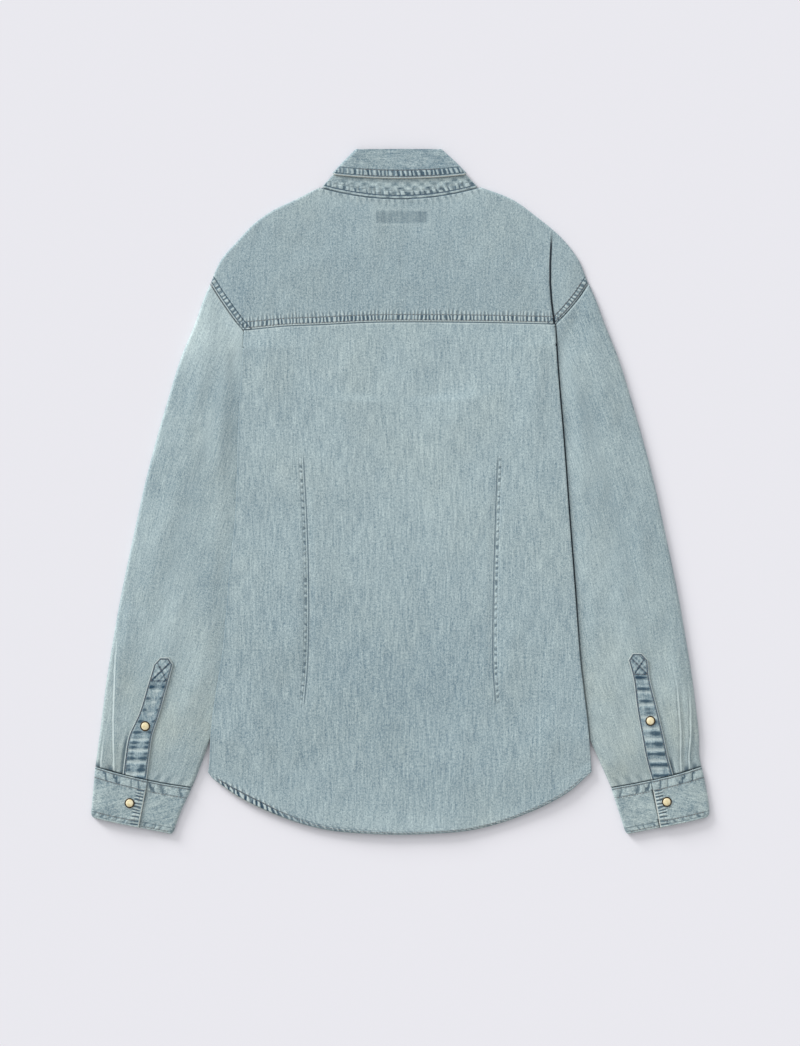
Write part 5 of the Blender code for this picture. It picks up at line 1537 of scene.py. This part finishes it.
def lathe(name, profile, at, up, mat, segments=48):
    """Turned piece about a vertical axis through at; profile is (radius, height) in mm."""
    prof = np.array(profile, float)
    ang = 2 * math.pi * np.arange(segments) / segments
    verts, rings = [], []
    for r, h in prof:
        if r == 0:
            rings.append([len(verts)])
            verts.append((0, 0, h * up))
        else:
            rings.append(list(range(len(verts), len(verts) + segments)))
            verts += [(r * math.cos(a * up), r * math.sin(a * up), h * up) for a in ang]
    faces = []
    for p, q in zip(rings, rings[1:]):
        for k in range(segments):
            m = (k + 1) % segments
            if len(p) == 1:
                faces.append((p[0], q[k], q[m]))
            elif len(q) == 1:
                faces.append((p[k], q[0], p[m]))
            else:
                faces.append((p[k], q[k], q[m], p[m]))
    return solid_piece(name, np.array(verts) + np.array(at), faces, mat)


def arc(cx, cz, r, a0, a1, n):
    a = np.radians(np.linspace(a0, a1, n))
    return [(cx + r * math.cos(q), cz + r * math.sin(q)) for q in a]


RIM_PROFILE = ([(0, 0.15), (5.55, 0.15)] + arc(5.25, 0.55, 0.5, -50, 90, 8)
               + arc(4.75, 0.72, 0.35, 90, 180, 5) + [(4.4, 0.3), (0, 0.3)])
CAP_R, CAP_BASE, CAP_RISE = 4.35, 0.75, 0.85
CAP_PROFILE = ([(0, 0.2), (CAP_R, 0.2), (CAP_R, CAP_BASE)]
               + [(CAP_R * math.cos(a), CAP_BASE + CAP_RISE * math.sin(a))
                  for a in np.radians(np.linspace(8, 84, 12))] + [(0, CAP_BASE + CAP_RISE)])

snap_names = [n[:-4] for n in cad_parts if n.startswith("snap_") and n.endswith("_cap")]
for base in snap_names:
    low_c, high_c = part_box(base + "_rim")
    place = SNAPS.get(base, Pt((low_c[0] + high_c[0]) / 2 / MM, (low_c[1] + high_c[1]) / 2 / MM))
    side = "left" if place.x < 0 else "right"
    up = 1
    if base.startswith("snap_sleeve"):
        z = float(placket_grids[side][0]([abs(place.x)], [place.y])[0]) + 0.55
    elif base.startswith("snap_cuff"):
        z = float(cuff_over_ground([abs(place.x)], [place.y])[0]) + 0.5
    else:
        z, up = 1.62, -1
    at = (*settle(place.x, place.y), z - 0.1 * up)
    for part, profile, sh, slot in (("_rim", RIM_PROFILE, brass, "snap_metal"),
                                    ("_cap", CAP_PROFILE, pearl, "snap_pearl")):
        ob = lathe(base + part + "_turned", profile, at, up, sh.mat)
        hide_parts(base + part)

# ---------------------------------------------------------------- floor and light
floor_mesh = bpy.data.meshes.new("floor")
FLOOR_HALF = 4                    # metres
floor_mesh.from_pydata([(x * FLOOR_HALF, y * FLOOR_HALF, 0)
                        for x, y in ((-1, -1), (1, -1), (1, 1), (-1, 1))], [], [(0, 1, 2, 3)])
floor_mat = bpy.data.materials.new("floor")
floor_mat.use_nodes = True
fb = floor_mat.node_tree.nodes["Principled BSDF"]
fb.inputs["Base Color"].default_value = (0.80, 0.79, 0.825, 1)
fb.inputs["Roughness"].default_value = 0.9
fb.inputs["Specular IOR Level"].default_value = 0.0
floor_mesh.materials.append(floor_mat)
add_object("floor", floor_mesh)

world = bpy.data.worlds.new("studio")
bpy.context.scene.world = world
world.use_nodes = True
sky = world.node_tree.nodes["Background"].inputs
sky["Color"].default_value = (0.97, 0.98, 1.0, 1)
sky["Strength"].default_value = 0.645


def sun(name, strength, azimuth, elevation, soft):
    """azimuth is where the light comes from, in degrees from +X towards +Y."""
    data = bpy.data.lights.new(name, "SUN")
    data.energy, data.angle = strength, math.radians(soft)
    turn_ = (math.radians(90 - elevation), 0, math.radians(azimuth + 90))
    add_object(name, data).rotation_euler = turn_


sun("low_key", 2.9, 132, 17, 20)
sun("high_key", 0.63, 128, 40, 42)

# ---------------------------------------------------------------- pieces and sheets

def real_area(ob):
    """Half of a thin closed cloth's surface, in square metres."""
    mesh = ob.evaluated_get(bpy.context.evaluated_depsgraph_get()).to_mesh()
    return sum(p.area for p in mesh.polygons) / 2


SHEETS = [  # node, slot, cut width, cut length (m), how it is held, what it lies on
    ("back", "denim_back", 0.58, 0.59, "laid", ["cloth_sleeve_left", "cloth_sleeve_right"]),
    ("front_left", "denim_front", 0.30, 0.70, "laid", ["floor"]),
    ("front_right", "denim_front", 0.33, 0.70, "laid", ["floor"]),
    ("front_placket", "denim_placket", 0.032, 0.656, "laid", ["snap_front_1_cap_turned"]),
    ("yoke", "denim_yoke", 0.44, 0.24, "folded", ["cloth_back"]),
    ("sleeve_left", "denim_sleeve", 0.42, 0.60, "laid", ["floor"]),
    ("sleeve_right", "denim_sleeve", 0.42, 0.60, "laid", ["floor"]),
    ("cuff_left", "denim_cuff", 0.235, 0.06, "folded", ["floor"]),
    ("cuff_right", "denim_cuff", 0.235, 0.06, "folded", ["floor"]),
    ("sleeve_placket_left", "denim_placket", 0.026, 0.146, "laid", ["cloth_sleeve_left"]),
    ("sleeve_placket_right", "denim_placket", 0.026, 0.146, "laid", ["cloth_sleeve_right"]),
    ("collar_stand", "denim_collar", 0.44, 0.04, "folded", ["cloth_front_left"]),
    ("collar_leaf", "denim_collar", 0.44, 0.075, "folded", ["floor"]),
]
for node, slot, wide, long, held, on in SHEETS:
    ob = made["cloth_" + node]
    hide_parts(node)
    min(real_area(ob), wide * long)
